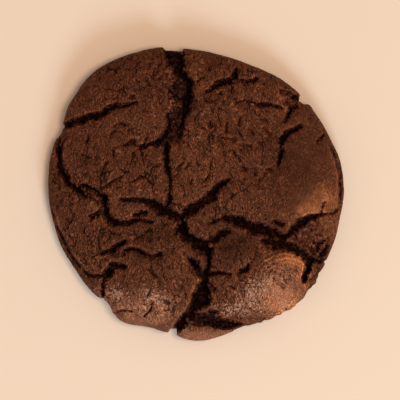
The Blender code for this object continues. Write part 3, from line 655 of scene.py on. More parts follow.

# %% [markdown]
# ## Where the finish changes
#
# Chocolate dough browns towards caramel where it bulges into the heat. It stays pale and smooth where it
# crept out late, low at the side, and its pale patches also carry painted light where the slopes face the
# lights. Its sugar dries to a bloom of fine specks in places, mixed with painted glints on the high spots.
# Other patches are only lighter or darker: partly painted light on slopes towards the lights, and painted
# shade on the sunken plates. Each of these is stored on the mesh as a number between 0 and 1 for every
# point, and the trees below read them by name. Soft round patches are enough, because the finishes break
# their edges up with noise.

# %% Patches of each finish
TOASTED = (  # x, y, reach along x, reach along y, amount
    (25.4, -17.0, 4.8, 2.2, 0.9), (28.4, -21.0, 2.0, 4.5, 0.8), (23.0, -29.0, 5.5, 3.4, 0.6),
    (22.0, -22.2, 3.4, 2.8, -0.6), (28.9, -4.6, 4.4, 2.2, 0.65), (32.2, -0.2, 3.6, 3.0, 0.45),
    (35.5, -6.0, 3.0, 8.0, 0.3), (1.0, -22.8, 1.1, 1.8, 0.4), (-0.6, -25.8, 1.0, 1.9, 0.4),
    (-2.2, -28.6, 1.0, 1.9, 0.35), (0.6, 29.5, 2.2, 5.0, 0.25),
)
# pale late dough, partly painted light where the slopes face the lights
PALE = (
    (-14.0, -32.0, 11.0, 4.0, 0.95), (-12.5, -28.0, 7.0, 4.0, 0.65), (-24.5, -27.0, 4.0, 4.0, 0.4),
    (4.0, -37.6, 11.0, 2.2, 1.0), (22.0, -21.8, 4.6, 3.6, 0.85), (22.5, -28.0, 6.0, 4.5, 0.95),
    (14.0, -28.5, 7.0, 4.5, 0.5), (3.0, 8.0, 8.0, 9.0, 0.1), (-34.5, -14.0, 4.0, 10.0, 0.1),
)
# partly painted light: lighter where the slopes face the lights
LIGHTER_AND_LIT = (
    (-25.8, -18.8, 3.2, 1.3, 0.7), (32.0, -8.0, 4.0, 6.0, 0.3), (-0.5, 9.0, 9.0, 10.0, 0.3),
    (25.0, 25.0, 9.0, 9.0, 0.2), (22.0, -20.6, 4.0, 4.0, 0.45), (16.0, -24.0, 7.0, 6.0, 0.35),
    (36.5, 3.0, 2.4, 9.0, 0.5), (23.5, -29.0, 5.5, 4.0, 0.85), (25.0, -31.0, 5.0, 2.0, 0.5),
    (26.5, -17.0, 5.0, 2.8, 0.3), (4.0, -37.6, 11.0, 2.4, 0.3),
)
# partly painted shade: darker on the sunken plates among others
DARKER_AND_SHADED = (
    (22.3, -22.5, 2.4, 2.0, 0.4), (-10.8, -10.0, 6.0, 4.6, 0.75), (9.0, -14.0, 6.0, 5.0, 0.8),
    (-16.0, 30.0, 10.0, 6.0, 0.2), (-30.0, 9.0, 7.0, 7.0, 0.2), (26.0, 9.0, 8.0, 8.0, 0.55),
)
# dry sugar bloom, with painted glints where the mask keeps to the high spots
DUST_AND_GLINTS = (
    (-21.2, -26.2, 3.2, 2.6, 1.0), (-11.0, -28.0, 4.2, 2.8, 0.9), (15.2, -25.6, 4.4, 4.4, 0.95),
    (9.5, -30.4, 6.5, 2.4, 1.0), (20.5, -22.0, 4.0, 3.0, 0.6), (23.7, -29.0, 3.4, 1.8, 1.0),
    (-12.0, -23.0, 9.0, 6.0, 0.25),
)
CALM = (  # where the skin has few wrinkles
    (4.0, -37.6, 11.0, 2.4, 1.0), (-14.0, -33.6, 10.0, 2.6, 0.9), (26.5, -17.0, 5.0, 2.8, 1.0),
    (24.0, -26.5, 6.0, 5.0, 0.9), (29.0, 9.0, 9.0, 12.0, 1.0), (30.5, -3.0, 7.0, 4.5, 0.9),
    (8.0, -13.5, 6.0, 4.0, 0.6),
)


def store(mesh, name, values):
    layer = mesh.attributes.new(name, "FLOAT", "POINT")
    layer.data.foreach_set("value", values.astype(np.float32))


upper = 1.0 - facts["under"]
for name in ("under", "fallen", "deep", "lip", "sunlit", "side", "rings"):
    store(body_mesh, name, facts[name])
for name, patches in {"toasted": TOASTED, "pale": PALE, "dust_and_glints": DUST_AND_GLINTS, "calm": CALM,
                      "lighter": LIGHTER_AND_LIT, "darker": DARKER_AND_SHADED}.items():
    amount = np.clip(soft_patches(body_mm[:, 0], body_mm[:, 1], patches), 0.0, 1.0) * upper
    store(body_mesh, name, amount)
    print(name, "covers", round(float((amount > 0.5).mean()), 3), "of the points")

# %% [markdown]
# A map lets the finish be baked onto a picture for each piece. The flat disc that the skin came from is
# already a good map for it: nothing overlaps, and no seam crosses the top. The underside gets a small disc
# of its own in the free corner.

# %% The map for painting
MAP_NAME = "OFBake"
SKIN_MAP = (0.44, 0.435)  # centre along both sides, radius
BASE_MAP = (0.865, 0.125)


def disc_map(mesh, u, v, under):
    corners = np.empty(len(mesh.loops), np.int32)
    mesh.loops.foreach_get("vertex_index", corners)
    starts, sizes = (np.empty(len(mesh.polygons), np.int32) for _ in range(2))
    mesh.polygons.foreach_get("loop_start", starts)
    mesh.polygons.foreach_get("loop_total", sizes)
    face_of = np.repeat(np.arange(len(starts)), sizes)
    touches_base = np.zeros(len(starts), bool)
    on_base = under[corners] > 0.5
    np.logical_or.at(touches_base, face_of, on_base)
    below = touches_base[face_of]
    centre = np.where(below, BASE_MAP[0], SKIN_MAP[0])
    radius = np.where(below, BASE_MAP[1], SKIN_MAP[1])
    # A skin point on the bridge lies just outside the underside's disc.
    shrink = np.where(on_base, UNDERSIDE_SHARE, 1.0)
    flat = np.stack([u[corners], v[corners]], axis=1)
    layer = mesh.uv_layers.new(name=MAP_NAME)
    mapped = centre[:, None] + flat * (radius * shrink)[:, None]
    layer.data.foreach_set("uv", mapped.astype(np.float32).ravel())
    return int(touches_base.sum())


print(disc_map(body_mesh, facts["disc_u"], facts["disc_v"], facts["under"]), "faces below")

# %% [markdown]
# ## A small kit for node trees
#
# Geometry trees and shader trees are built from the same few moves: add a node, set some
# of its inputs to numbers and join others to outputs. One helper does all of that, and a
# few more do the sums, so each tree below reads like a list of steps.

# %% Node helpers
def feed(tree, node, inputs):
    """Fills a node's inputs. A socket is linked, anything else is the input's value."""
    for key, value in inputs.items():
        if isinstance(value, bpy.types.NodeSocket):
            tree.links.new(value, node.inputs[key])
        else:
            node.inputs[key].default_value = value


def add(tree, kind, inputs=None, **settings):
    """Adds a node with its settings, and feeds its inputs."""
    node = tree.nodes.new(kind)
    for name, value in settings.items():
        setattr(node, name, value)
    feed(tree, node, inputs or {})
    return node


def calc(tree, operation, *values, clamp=False):
    node = add(tree, "ShaderNodeMath", dict(enumerate(values)), operation=operation)
    node.use_clamp = clamp
    return node.outputs[0]


def plus(tree, value, more):
    return calc(tree, "ADD", value, more)


def minus(tree, value, less):
    return calc(tree, "SUBTRACT", value, less)


def times(tree, value, *factors):
    for factor in factors:
        value = calc(tree, "MULTIPLY", value, factor)
    return value


def times_plus(tree, value, factor, more, clamp=False):
    return calc(tree, "MULTIPLY_ADD", value, factor, more, clamp=clamp)


def without(tree, share, clamp=False):
    """What a share leaves of 1."""
    return calc(tree, "SUBTRACT", 1.0, share, clamp=clamp)


def step(tree, value, low, high, to_low=0.0, to_high=1.0):
    """A smooth step from to_low to to_high as value goes from low to high."""
    fields = {"Value": value, "From Min": low, "From Max": high,
              "To Min": to_low, "To Max": to_high}
    return add(tree, "ShaderNodeMapRange", fields, interpolation_type="SMOOTHSTEP").outputs[0]


def vector_math(tree, operation, *values, **fields):
    inputs = {**dict(enumerate(values)), **fields}
    return add(tree, "ShaderNodeVectorMath", inputs, operation=operation).outputs[0]


def scaled(tree, vector, factor):
    """A vector made longer, or a colour made lighter, by a factor."""
    return vector_math(tree, "SCALE", vector, Scale=factor)


def stored(tree, name):
    """A number that is stored on the mesh, read in either kind of tree."""
    if tree.bl_idname == "GeometryNodeTree":
        return add(tree, "GeometryNodeInputNamedAttribute", {"Name": name}).outputs["Attribute"]
    return add(tree, "ShaderNodeAttribute", attribute_name=name).outputs["Fac"]


print("node helpers ready")

# %% [markdown]
# A node group has sockets of its own. Here an input is described by its usual number, or by
# its type where it isn't a number, and an output by its type.

# %% Node groups
FLOAT, VECTOR, COLOUR = "NodeSocketFloat", "NodeSocketVector", "NodeSocketColor"
GEOMETRY, MATERIAL, INTEGER = "NodeSocketGeometry", "NodeSocketMaterial", "NodeSocketInt"


def new_tree(kind, name, inputs, outputs):
    """A new node group, the sockets that bring its inputs, and the node that takes its results."""
    tree = bpy.data.node_groups.new(name, kind)
    for socket_name, usual in inputs.items():
        is_number = isinstance(usual, float)
        socket = tree.interface.new_socket(
            socket_name, in_out="INPUT", socket_type=FLOAT if is_number else usual)
        if is_number:
            socket.default_value = usual
    for socket_name, socket_type in outputs.items():
        tree.interface.new_socket(socket_name, in_out="OUTPUT", socket_type=socket_type)
    return tree, tree.nodes.new("NodeGroupInput").outputs, tree.nodes.new("NodeGroupOutput")


print("a type of socket is a name, such as", FLOAT)

# %% [markdown]
# ## Noise that looks like skin
#
# Dried dough wrinkles like leather: rounded bumps with narrow valleys between them. Plain
# noise is rolling hills. Its distance from the middle value is the trick: it folds the
# hills into bumps that meet in sharp valleys, exactly along the noise's middle line.
# Creases are thinner, and painted shade makes them darker. They run along the borders of a cell pattern,
# and a second, broader noise decides how wide a border opens, so each becomes a short crease that fades
# out at both ends. Both kinds of tree know these nodes, so the same functions shape the mesh and colour
# it, and the painted shade falls exactly into the creases.

# %% Folded noise and creases
PEEL_STRETCH = (1.5, 0.72, 1.0)
PEEL_SWIRL, PEEL_WARP = 0.6, 0.72  # bump's size in swirls, and how many swirls it strays
PEEL_GAIN = 5.0  # brings the bumps' tops to about 1
SWING_SIZE, SWING_REACH = 4.5 * MM, 0.65
CREASE_STRETCH = (1.2, 0.85, 1.0)  # more creases run up and down than across
CREASE_SWIRL, CREASE_WARP = 0.45, 0.55  # swirl's size in cells, and how many swirls it strays
CREASE_KINDS = {"Crease": (0.1, 0.56, 7.0), "Fine Crease": (0.15, 0.55, 9.0)}  # width, cover, seed
CREASE_SHUT = 0.002  # width of a crease that doesn't show
COVER_FADE = 0.12  # how gradually a crease opens
COVER_SIZES, COVER_SEED = (0.6, 3.0), 20.0  # noise that opens creases one by one and by the patch
COVER_PATCHES = 0.6  # weight of the patches
SEED_STRIDE = 0.013  # how far one more seed moves the cells


def per(tree, size):
    """How often something of this size repeats in a metre, as texture nodes ask for it."""
    return calc(tree, "DIVIDE", 1.0, size)


def noise_at(tree, place, size, seed=0.0, detail=1.0, roughness=0.5):
    return add(tree, "ShaderNodeTexNoise", {
        "Vector": place, "W": seed, "Scale": per(tree, size),
        "Detail": detail, "Roughness": roughness}, noise_dimensions="4D").outputs[0]


def swirl(tree, place, often, reach, detail=0.0):
    """A push that turns about from place to place, by reach at the most."""
    push = add(tree, "ShaderNodeTexNoise", {"Vector": place, "Scale": often, "Detail": detail})
    return scaled(tree, vector_math(tree, "SUBTRACT", push.outputs["Color"], (0.5, 0.5, 0.5)), reach)


def warped(tree, place, size, reach, detail=0.0):
    """The place, pulled aside by a swirl as coarse as size, by reach sizes at the most."""
    aside = swirl(tree, place, per(tree, size), times(tree, size, reach), detail)
    return vector_math(tree, "ADD", place, aside)


def stretched(tree, place):
    """The place, squeezed so that bumps come out long, in a direction that swings about."""
    return vector_math(tree, "MULTIPLY", warped(tree, place, SWING_SIZE, SWING_REACH), PEEL_STRETCH)


def folded_noise(tree, place, size, seed):
    """0 in the valleys, rising to about 1 on the bumps."""
    place = warped(tree, place, calc(tree, "DIVIDE", size, PEEL_SWIRL), PEEL_WARP)
    off_middle = calc(tree, "ABSOLUTE", minus(tree, noise_at(tree, place, size, seed), 0.5))
    return calc(tree, "MULTIPLY", off_middle, PEEL_GAIN, clamp=True)


def creases(tree, given, place, kind):
    """1 in the middle of short creases of a kind, 0 beside them. A lower cover shows more."""
    width, cover, own_seed = CREASE_KINDS[kind]
    size, seed = given[kind + " Size"], plus(tree, given["Seed"], own_seed)
    place = vector_math(tree, "MULTIPLY", place, CREASE_STRETCH)
    moved = warped(tree, place, times(tree, size, CREASE_SWIRL), CREASE_WARP, detail=1.0)
    moved = vector_math(tree, "ADD", moved, times(tree, seed, SEED_STRIDE))
    border = add(tree, "ShaderNodeTexVoronoi", {"Vector": moved, "Scale": per(tree, size)},
                 feature="DISTANCE_TO_EDGE").outputs["Distance"]
    one_by_one, patches = (
        noise_at(tree, place, times(tree, size, share), plus(tree, seed, COVER_SEED))
        for share in COVER_SIZES)
    shows = times_plus(tree, minus(tree, patches, 0.5), COVER_PATCHES, one_by_one)
    wide = step(tree, shows, cover, cover + COVER_FADE, CREASE_SHUT, width)
    return step(tree, calc(tree, "DIVIDE", border, wide), 0.0, 1.0, 1.0, 0.0)


print("kinds of crease:", ", ".join(CREASE_KINDS))

# %% [markdown]
# ## The crust's relief
#
# This tree moves the fine mesh in and out along its own normals. Bumps like orange peel
# cover all the crust, creases come and go, and both fade where the skin is calm. The torn
# insides of the cracks swell into crumbs.

# %% Build the relief tree
RELIEF_SIZES = ("Peel Size", "Peel Depth", "Crease Size", "Crease Depth", "Fine Crease Size",
                "Fine Crease Depth", "Crumb Size", "Crumb Rise", "Seed")
SIDE_RELIEF, SIDE_CRUMBS = 0.7, 0.9  # what the side lacks of the crust's and the crumbs' relief
CALM_PEEL = 0.7  # how much of the peel a calm place lacks
PEEL_SPELLS = 5.0  # the peel is deeper and flatter in spells this many bumps long
PEEL_DEPTHS = (0.35, 0.65, 0.5, 1.4)  # from these values of noise to these shares of the depth
CRUMB_NOISE = {"detail": 3.0, "roughness": 0.65}
CRUMB_LEVEL = 0.45  # noise above this rises, below it sinks


def end_tree(tree, given, result, geometry, offset):
    """Ends a geometry tree: its geometry, moved by an offset, real and in its finish."""
    moved = add(tree, "GeometryNodeSetPosition", {"Geometry": geometry, "Offset": offset})
    solid = add(tree, "GeometryNodeRealizeInstances", {"Geometry": moved.outputs[0]})
    dressed = add(tree, "GeometryNodeSetMaterial",
                  {"Geometry": solid.outputs[0], "Material": given["Finish"]})
    feed(tree, result, {"Geometry": dressed.outputs[0]})


def relief_tree():
    tree, given, result = new_tree("GeometryNodeTree", "crust relief", {
        "Geometry": GEOMETRY, **dict.fromkeys(RELIEF_SIZES, 0.0), "Finish": MATERIAL,
    }, {"Geometry": GEOMETRY})
    here = tree.nodes.new("GeometryNodeInputPosition").outputs[0]
    fallen, calm, side = (stored(tree, name) for name in ("fallen", "calm", "side"))
    crust = times(tree, without(tree, fallen), without(tree, stored(tree, "under")),
                  without(tree, times(tree, side, SIDE_RELIEF)))

    peel = folded_noise(tree, stretched(tree, here), given["Peel Size"], given["Seed"])
    spells = noise_at(tree, here, times(tree, given["Peel Size"], PEEL_SPELLS))
    peel_depth = times(tree, given["Peel Depth"], step(tree, spells, *PEEL_DEPTHS),
                       without(tree, times(tree, calm, CALM_PEEL)))
    rise = times(tree, minus(tree, peel, 1.0), peel_depth)
    for kind in CREASE_KINDS:
        down = times(tree, creases(tree, given, here, kind), without(tree, calm))
        rise = minus(tree, rise, times(tree, down, given[kind + " Depth"]))

    crumbs = noise_at(tree, here, given["Crumb Size"], **CRUMB_NOISE)
    crumb_rise = times(tree, minus(tree, crumbs, CRUMB_LEVEL),
                       times(tree, given["Crumb Rise"], fallen),
                       without(tree, times(tree, side, SIDE_CRUMBS)))
    rise = times_plus(tree, rise, crust, crumb_rise)
    normal = tree.nodes.new("GeometryNodeInputNormal").outputs[0]
    end_tree(tree, given, result, given["Geometry"], scaled(tree, normal, rise))
    return tree


crust_relief = relief_tree()
print(len(crust_relief.nodes), "nodes in the relief tree")

# %% [markdown]
# ## Finishes
#
# The crust is matte brown. It shares two effects with the torn crumbs, so these are node groups: the
# leathery grain and the mottling of two browns. The bloom with its painted glints is a group as well, to
# keep the crust's own tree short. The grain comes first. It adds bumps finer than the mesh, with painted
# shade in the valleys between them, and paints shade into the mesh's own creases, because the same
# functions make both.

# %% The leathery grain
SPECK_SHARE, SPECK_SEED = 0.55, 5.0  # the specks' size, as a share of the bumps'
FINE_SHARE = 0.8  # how strongly a fine crease shows
PEEL_HEIGHT, SPECK_HEIGHT = 0.8, 0.6
# The shade is painted shade: darker in the valleys between bumps and in the creases, lighter on the bumps'
# tops, and varied by specks of random tone.
PEEL_SHADES = (0.0, 0.6, 0.56, 1.2)  # from these values of noise to these shades
SPECK_SHADES = (0.34, 0.66, 0.6, 1.44)
MEAN_SHADE = 0.8  # what the grain's shade comes to on average
CALM_SHADES = (-0.75, 1.05)  # how much the shade varies: what calm adds, and from the start
LINE_SHADE = -0.85  # how much darker painted shade makes a crease


def grain_and_shade_group():
    """Fine bumps and the mesh's own creases, as a height and as a painted shade round 1."""
    tree, given, result = new_tree("ShaderNodeTree", "dough grain and shade", {
        "Vector": VECTOR, "Peel Size": 1.0 * MM, "Crease Size": 4.0 * MM,
        "Fine Crease Size": 2.0 * MM, "Seed": 0.0, "Calm": 0.0,
    }, {"Height": FLOAT, "Shade": FLOAT})
    long = stretched(tree, given["Vector"])
    peel = folded_noise(tree, long, given["Peel Size"], given["Seed"])
    speck = noise_at(tree, long, times(tree, given["Peel Size"], SPECK_SHARE), SPECK_SEED)
    wide, fine = (creases(tree, given, given["Vector"], kind) for kind in CREASE_KINDS)
    line = calc(tree, "MAXIMUM", wide, times(tree, fine, FINE_SHARE))
    line = times(tree, line, without(tree, given["Calm"], clamp=True))
    height = plus(tree, times(tree, peel, PEEL_HEIGHT), times(tree, speck, SPECK_HEIGHT))
    shade = times(tree, step(tree, peel, *PEEL_SHADES), step(tree, speck, *SPECK_SHADES))
    left = times_plus(tree, given["Calm"], *CALM_SHADES)
    shade = times_plus(tree, minus(tree, shade, MEAN_SHADE), left, MEAN_SHADE)
    shade = times(tree, shade, times_plus(tree, line, LINE_SHADE, 1.0))
    feed(tree, result, {"Height": minus(tree, height, line), "Shade": shade})
    return tree


GRAIN_AND_SHADE = grain_and_shade_group()
print("group", GRAIN_AND_SHADE.name, "has", len(GRAIN_AND_SHADE.nodes), "nodes")

# %% [markdown]
# Baked dough is never one brown, so two browns mix in broad blotches and small specks. The bloom is partly
# dried sugar and partly painted glints: pale specks that gather where the mesh says so, on the high
# places.

# %% Mottling and bloom
BLOTCH_SHARE = 0.55  # the rest is specks
MOTTLE_NOISE = {"detail": 2.0, "roughness": 0.6}
MOTTLE_EDGE = (0.36, 0.64)
# Pale specks: partly dry sugar bloom, partly painted glints of light on the bumps' tops.
BLOOM_GLINT_SEED = 3.0
BLOOM_GLINT_HEIGHT, BLOOM_GLINT_AMOUNT = 0.25, 0.3  # how much the height and the amount add to its noise
BLOOM_GLINT_EDGE = (0.86, 1.03)
BLOOM_GLINT_GAIN = 1.4


def use_group(tree, group, inputs):
    return add(tree, "ShaderNodeGroup", inputs, node_tree=group).outputs


def blend_colour(tree, share, under, over):
    node = add(tree, "ShaderNodeMix", {0: share, 6: under, 7: over}, data_type="RGBA")
    return node.outputs[2]


def mottle_group():
    """Mixes two colours in blotches of two sizes."""
    tree, given, result = new_tree("ShaderNodeTree", "baked mottling", {
        "Vector": VECTOR, "Blotch": 6.0 * MM, "Speck": 1.1 * MM,
        "Colour": COLOUR, "Other Colour": COLOUR,
    }, {"Colour": COLOUR})
    broad, small = (noise_at(tree, given["Vector"], given[name], **MOTTLE_NOISE)
                    for name in ("Blotch", "Speck"))
    share = plus(tree, times(tree, broad, BLOTCH_SHARE), times(tree, small, 1.0 - BLOTCH_SHARE))
    feed(tree, result, {"Colour": blend_colour(
        tree, step(tree, share, *MOTTLE_EDGE), given["Colour"], given["Other Colour"])})
    return tree


def bloom_glint_group():
    """A mask of pale specks, partly dry sugar and partly painted glints, that keep to the high places."""
    tree, given, result = new_tree("ShaderNodeTree", "bloom and glints", {
        "Vector": VECTOR, "Amount": 0.0, "Height": 0.5, "Speck": 0.8 * MM,
    }, {"Mask": FLOAT})
    cloud = noise_at(tree, given["Vector"], given["Speck"], BLOOM_GLINT_SEED, **MOTTLE_NOISE)
    ready = plus(tree, times(tree, given["Height"], BLOOM_GLINT_HEIGHT), cloud)
    ready = times_plus(tree, given["Amount"], BLOOM_GLINT_AMOUNT, ready)
    mask = times(tree, step(tree, ready, *BLOOM_GLINT_EDGE), given["Amount"])
    feed(tree, result, {"Mask": calc(tree, "MULTIPLY", mask, BLOOM_GLINT_GAIN, clamp=True)})
    return tree


MOTTLE, BLOOM_GLINTS = mottle_group(), bloom_glint_group()
print("groups:", MOTTLE.name, "/", BLOOM_GLINTS.name)

# %% [markdown]
# The crust's own material reads the numbers stored on the mesh. Each layer goes over the one before it:
# two browns, the paler late dough with painted light on the slopes towards the lights, caramel where it
# toasted, torn crumb, the painted shade of the grain, a few lighter and darker tones that are partly
# painted light and shade, black painted shade where it is torn deep, pale bloom and painted glints on the
# high spots, and last the plain brown of the underside.

# %% The crust's colours and edges
CRUST_BROWN = (0.135, 0.0378, 0.0149, 1.0)
CRUST_DARK = (0.112, 0.0308, 0.012, 1.0)
CARAMEL = (0.50, 0.158, 0.052, 1.0)
# late dough, pale partly from painted light on the slopes towards the lights
LATE_DOUGH_AND_LIT = (0.338, 0.123, 0.06, 1.0)
TORN_BROWN = (0.072, 0.0185, 0.0095, 1.0)
TORN_RED = (0.235, 0.067, 0.03, 1.0)
# black painted shade for deep cracks, seams and gaps between crumbs
TORN_SHADE_BLACK = (0.0125, 0.0028, 0.0028, 1.0)
BLOOM_GLINT_PALE = (0.485, 0.245, 0.149, 1.0)
SHEET_BROWN = (0.075, 0.025, 0.0125, 1.0)
CRUST_SHINE = 0.06
CRUMB_SIZE = 1.2 * MM
CREASE_SIZES = {"Crease Size": 4.2 * MM, "Fine Crease Size": 2.1 * MM, "Seed": 6.0}
RAGGED_SIZE, RAGGED_SHARE = 2.0 * MM, 1.1  # noise that breaks up the edges of patches
PATCH_EDGE = (0.0, 1.1)
DUST_GLINT_WRINKLES = -0.5  # a place of dust and painted glints is this much less calm
CRUMB_EDGE = (0.45, 0.65)  # values of noise between which torn crumb turns from brown to a lighter red: the crumb's own red, with painted light on the raised crumbs
TORN_EDGE = (0.2, 0.9)
# Painted light and shade among the tones: the lighter and darker patches in part, the rings darker in
# their troughs and lighter on their crests, the lip lighter along crack edges, partly worn and partly a
# painted highlight, and sunlit a painted highlight.
TONES = {"lighter": 0.6, "darker": -0.45, "rings": 0.4, "lip": 0.3, "sunlit": 0.6}
CRUMB_GAPS = 0.53  # noise below this is a gap between crumbs, painted black as shade
GAP_BLACK = (-1.9, 3.2)  # how black the painted shade in the gaps is: what depth adds, and from the start
BLOOM_GLINT_SHARE = 0.8
ROUGHNESS = (-0.2, 0.2, 0.52, 0.68)  # from these values of noise to these roughnesses
BLOOM_GLINT_ROUGHNESS = 0.15
GRAIN_DEPTH = 0.5 * MM
print(len(TONES), "tones go over the browns")


# %% The crust's material
def new_material(name):
    """A new material, its tree and its Principled BSDF node."""
    material = bpy.data.materials.new(name)
    material.use_nodes = True
    return material, material.node_tree, material.node_tree.nodes["Principled BSDF"]


def crust_material():
    material, tree, shader = new_material("chocolate_crust")
    spot = add(tree, "ShaderNodeTexCoord").outputs["Object"]
    ragged = minus(tree, noise_at(tree, spot, RAGGED_SIZE, detail=3.0, roughness=0.6), 0.5)

    def ragged_patch(name):
        """A stored patch whose edge is broken up by noise."""
        return step(tree, times_plus(tree, ragged, RAGGED_SHARE, stored(tree, name)), *PATCH_EDGE)

    calm = times_plus(tree, stored(tree, "dust_and_glints"), DUST_GLINT_WRINKLES, stored(tree, "calm"))
    grain = use_group(tree, GRAIN_AND_SHADE, {
        "Vector": spot, "Calm": calm, "Peel Size": 0.8 * MM, **CREASE_SIZES})
    colour = use_group(tree, MOTTLE, {
        "Vector": spot, "Blotch": 6.0 * MM, "Speck": 1.1 * MM,
        "Colour": CRUST_DARK, "Other Colour": CRUST_BROWN})["Colour"]
    colour = blend_colour(tree, ragged_patch("pale"), colour, LATE_DOUGH_AND_LIT)
    colour = blend_colour(tree, ragged_patch("toasted"), colour, CARAMEL)
    # The same noise raises the crumbs, so the lighter red on their tops is partly painted light.
    crumbs = noise_at(tree, spot, CRUMB_SIZE, **CRUMB_NOISE)
    torn_crumb = blend_colour(tree, step(tree, crumbs, *CRUMB_EDGE), TORN_BROWN, TORN_RED)
    fallen, deep = stored(tree, "fallen"), stored(tree, "deep")
    colour = blend_colour(tree, step(tree, fallen, *TORN_EDGE), colour, torn_crumb)
    # Painted shade of the grain: creases and valleys darker, bump tops lighter.
    colour = scaled(tree, colour, grain["Shade"])
    for name, change in TONES.items():
        colour = scaled(tree, colour, times_plus(tree, stored(tree, name), change, 1.0))
    # Painted shade: gaps between crumbs and deep torn places turn black.
    gaps = times(tree, minus(tree, CRUMB_GAPS, crumbs), fallen)
    black = times_plus(tree, gaps, times_plus(tree, deep, *GAP_BLACK), deep, clamp=True)
    colour = blend_colour(tree, black, colour, TORN_SHADE_BLACK)
    # Pale specks of bloom, with painted glints on the high spots.
    mask = use_group(tree, BLOOM_GLINTS, {
        "Vector": spot, "Amount": stored(tree, "dust_and_glints"), "Height": grain["Height"]})["Mask"]
    colour = blend_colour(tree, times(tree, mask, BLOOM_GLINT_SHARE), colour, BLOOM_GLINT_PALE)
    colour = blend_colour(tree, stored(tree, "under"), colour, SHEET_BROWN)
    bump = add(tree, "ShaderNodeBump", {
        "Strength": 1.0, "Distance": GRAIN_DEPTH, "Height": grain["Height"]})
    feed(tree, shader, {
        "Base Color": colour, "Specular IOR Level": CRUST_SHINE,
        "Roughness": times_plus(tree, mask, BLOOM_GLINT_ROUGHNESS, step(tree, ragged, *ROUGHNESS)),
        "Normal": bump.outputs[0]})
    return material


CRUST = crust_material()
print("material", CRUST.name, "has", len(CRUST.node_tree.nodes), "nodes")

# %% [markdown]
# The tree runs as a modifier on a helper object. Its result is copied out as a plain mesh,
# and the helper goes. The mesh keeps the numbers and the map that were stored on it.

# %% Press the relief into the crust
RELIEF = {
    "Peel Size": 1.4 * MM, "Peel Depth": 0.16 * MM,
    **CREASE_SIZES, "Crease Depth": 0.5 * MM, "Fine Crease Depth": 0.25 * MM,
    "Crumb Size": CRUMB_SIZE, "Crumb Rise": 1.5 * MM, "Finish": CRUST,
}


def new_object(name, data):
    """An object in the scene, at the origin, unturned and unscaled."""
    made = bpy.data.objects.new(name, data)
    bpy.context.scene.collection.objects.link(made)
    return made


def run_tree(mesh, tree, sizes):
    """Runs a geometry tree on a mesh and returns its result as a plain mesh."""
    helper = new_object("helper", mesh)
    modifier = helper.modifiers.new(tree.name, "NODES")
    modifier.node_group = tree
    sockets = {item.name: item.identifier for item in tree.interface.items_tree
               if item.in_out == "INPUT"}
    for name, value in sizes.items():
        modifier[sockets[name]] = value
    bpy.context.view_layer.update()
    graph = bpy.context.evaluated_depsgraph_get()
    plain = bpy.data.meshes.new_from_object(
        helper.evaluated_get(graph), preserve_all_data_layers=True, depsgraph=graph)
    helper.modifiers.remove(modifier)
    bpy.data.objects.remove(helper)
    return plain


def finished_piece(name, mesh):
    """The object that shows a finished mesh, shaded smooth."""
    mesh.shade_smooth()
    mesh.calc_loop_triangles()
    print(name + ":", len(mesh.loop_triangles), "triangles")
    return new_object(name, mesh)


crust_mesh = run_tree(body_mesh, crust_relief, RELIEF)
cookie_crust = finished_piece("cookie_crust", crust_mesh)

# %% [markdown]
# ## Crumbs in the cracks
#
# Where the crust tore, the soft inside pulled apart into crumbs that still cling to the
# walls. Thousands of small things that follow a surface are a job for Geometry Nodes: it
# scatters points where the mesh says it is torn, puts a low round lump on each, and
# pushes every lump out of shape with noise. The push is strong for such small lumps: it
# turns about one in ninety of them inside out.

# %% Build the crumb tree
CLING_TORN = (0.5, 1.0)  # how torn a place is where the first crumbs cling, and where all do
CLING_SIDE = (0.2, 0.7, 1.0, 0.0)  # they thin out towards the side
LUMP = {"Radius": 1.0, "Segments": 7, "Rings": 5}
LUMP_LEAST, LUMP_MOST = (0.6, 0.6, 0.4), (1.5, 1.0, 0.8)  # a lump's shape varies between these
SHOVE_OFTEN, SHOVE_DETAIL = 2200.0, 2.0  # swirls in a metre, and their detail
SHOVE_REACH = 2.2  # in sizes of the largest crumb


def crumb_tree():
    tree, given, result = new_tree("GeometryNodeTree", "clinging crumbs", {
        "Geometry": GEOMETRY, "Per Square Metre": 0.0, "Smallest": 0.0, "Largest": 0.0,
        "Seed": INTEGER, "Finish": MATERIAL,
    }, {"Geometry": GEOMETRY})
    clinging = times(tree, step(tree, stored(tree, "fallen"), *CLING_TORN),
                     step(tree, stored(tree, "side"), *CLING_SIDE))
    scattered = add(tree, "GeometryNodeDistributePointsOnFaces", {
        "Mesh": given["Geometry"], "Seed": given["Seed"],
        "Density": times(tree, given["Per Square Metre"], clinging)}).outputs
    size = add(tree, "FunctionNodeRandomValue", {
        2: given["Smallest"], 3: given["Largest"], "Seed": given["Seed"]},
        data_type="FLOAT").outputs[1]
    shape = add(tree, "FunctionNodeRandomValue", {0: LUMP_LEAST, 1: LUMP_MOST},
                data_type="FLOAT_VECTOR").outputs[0]
    placed = add(tree, "GeometryNodeInstanceOnPoints", {
        "Points": scattered["Points"], "Rotation": scattered["Rotation"],
        "Instance": add(tree, "GeometryNodeMeshUVSphere", LUMP).outputs["Mesh"],
        "Scale": scaled(tree, shape, size)}).outputs[0]
    # Each point of each lump is pushed on its own, so the lumps are made real first.
    solid = add(tree, "GeometryNodeRealizeInstances", {"Geometry": placed}).outputs[0]
    here = tree.nodes.new("GeometryNodeInputPosition").outputs[0]
    reach = times(tree, given["Largest"], SHOVE_REACH)
    end_tree(tree, given, result, solid, swirl(tree, here, SHOVE_OFTEN, reach, SHOVE_DETAIL))
    return tree


clinging_crumbs = crumb_tree()
print(len(clinging_crumbs.nodes), "nodes in the crumb tree")

# %% [markdown]
# The torn inside never dried as the crust did, so its crumbs are redder. Painted shade turns them black
# with depth as it does the torn walls, and they carry the same grain, only finer.

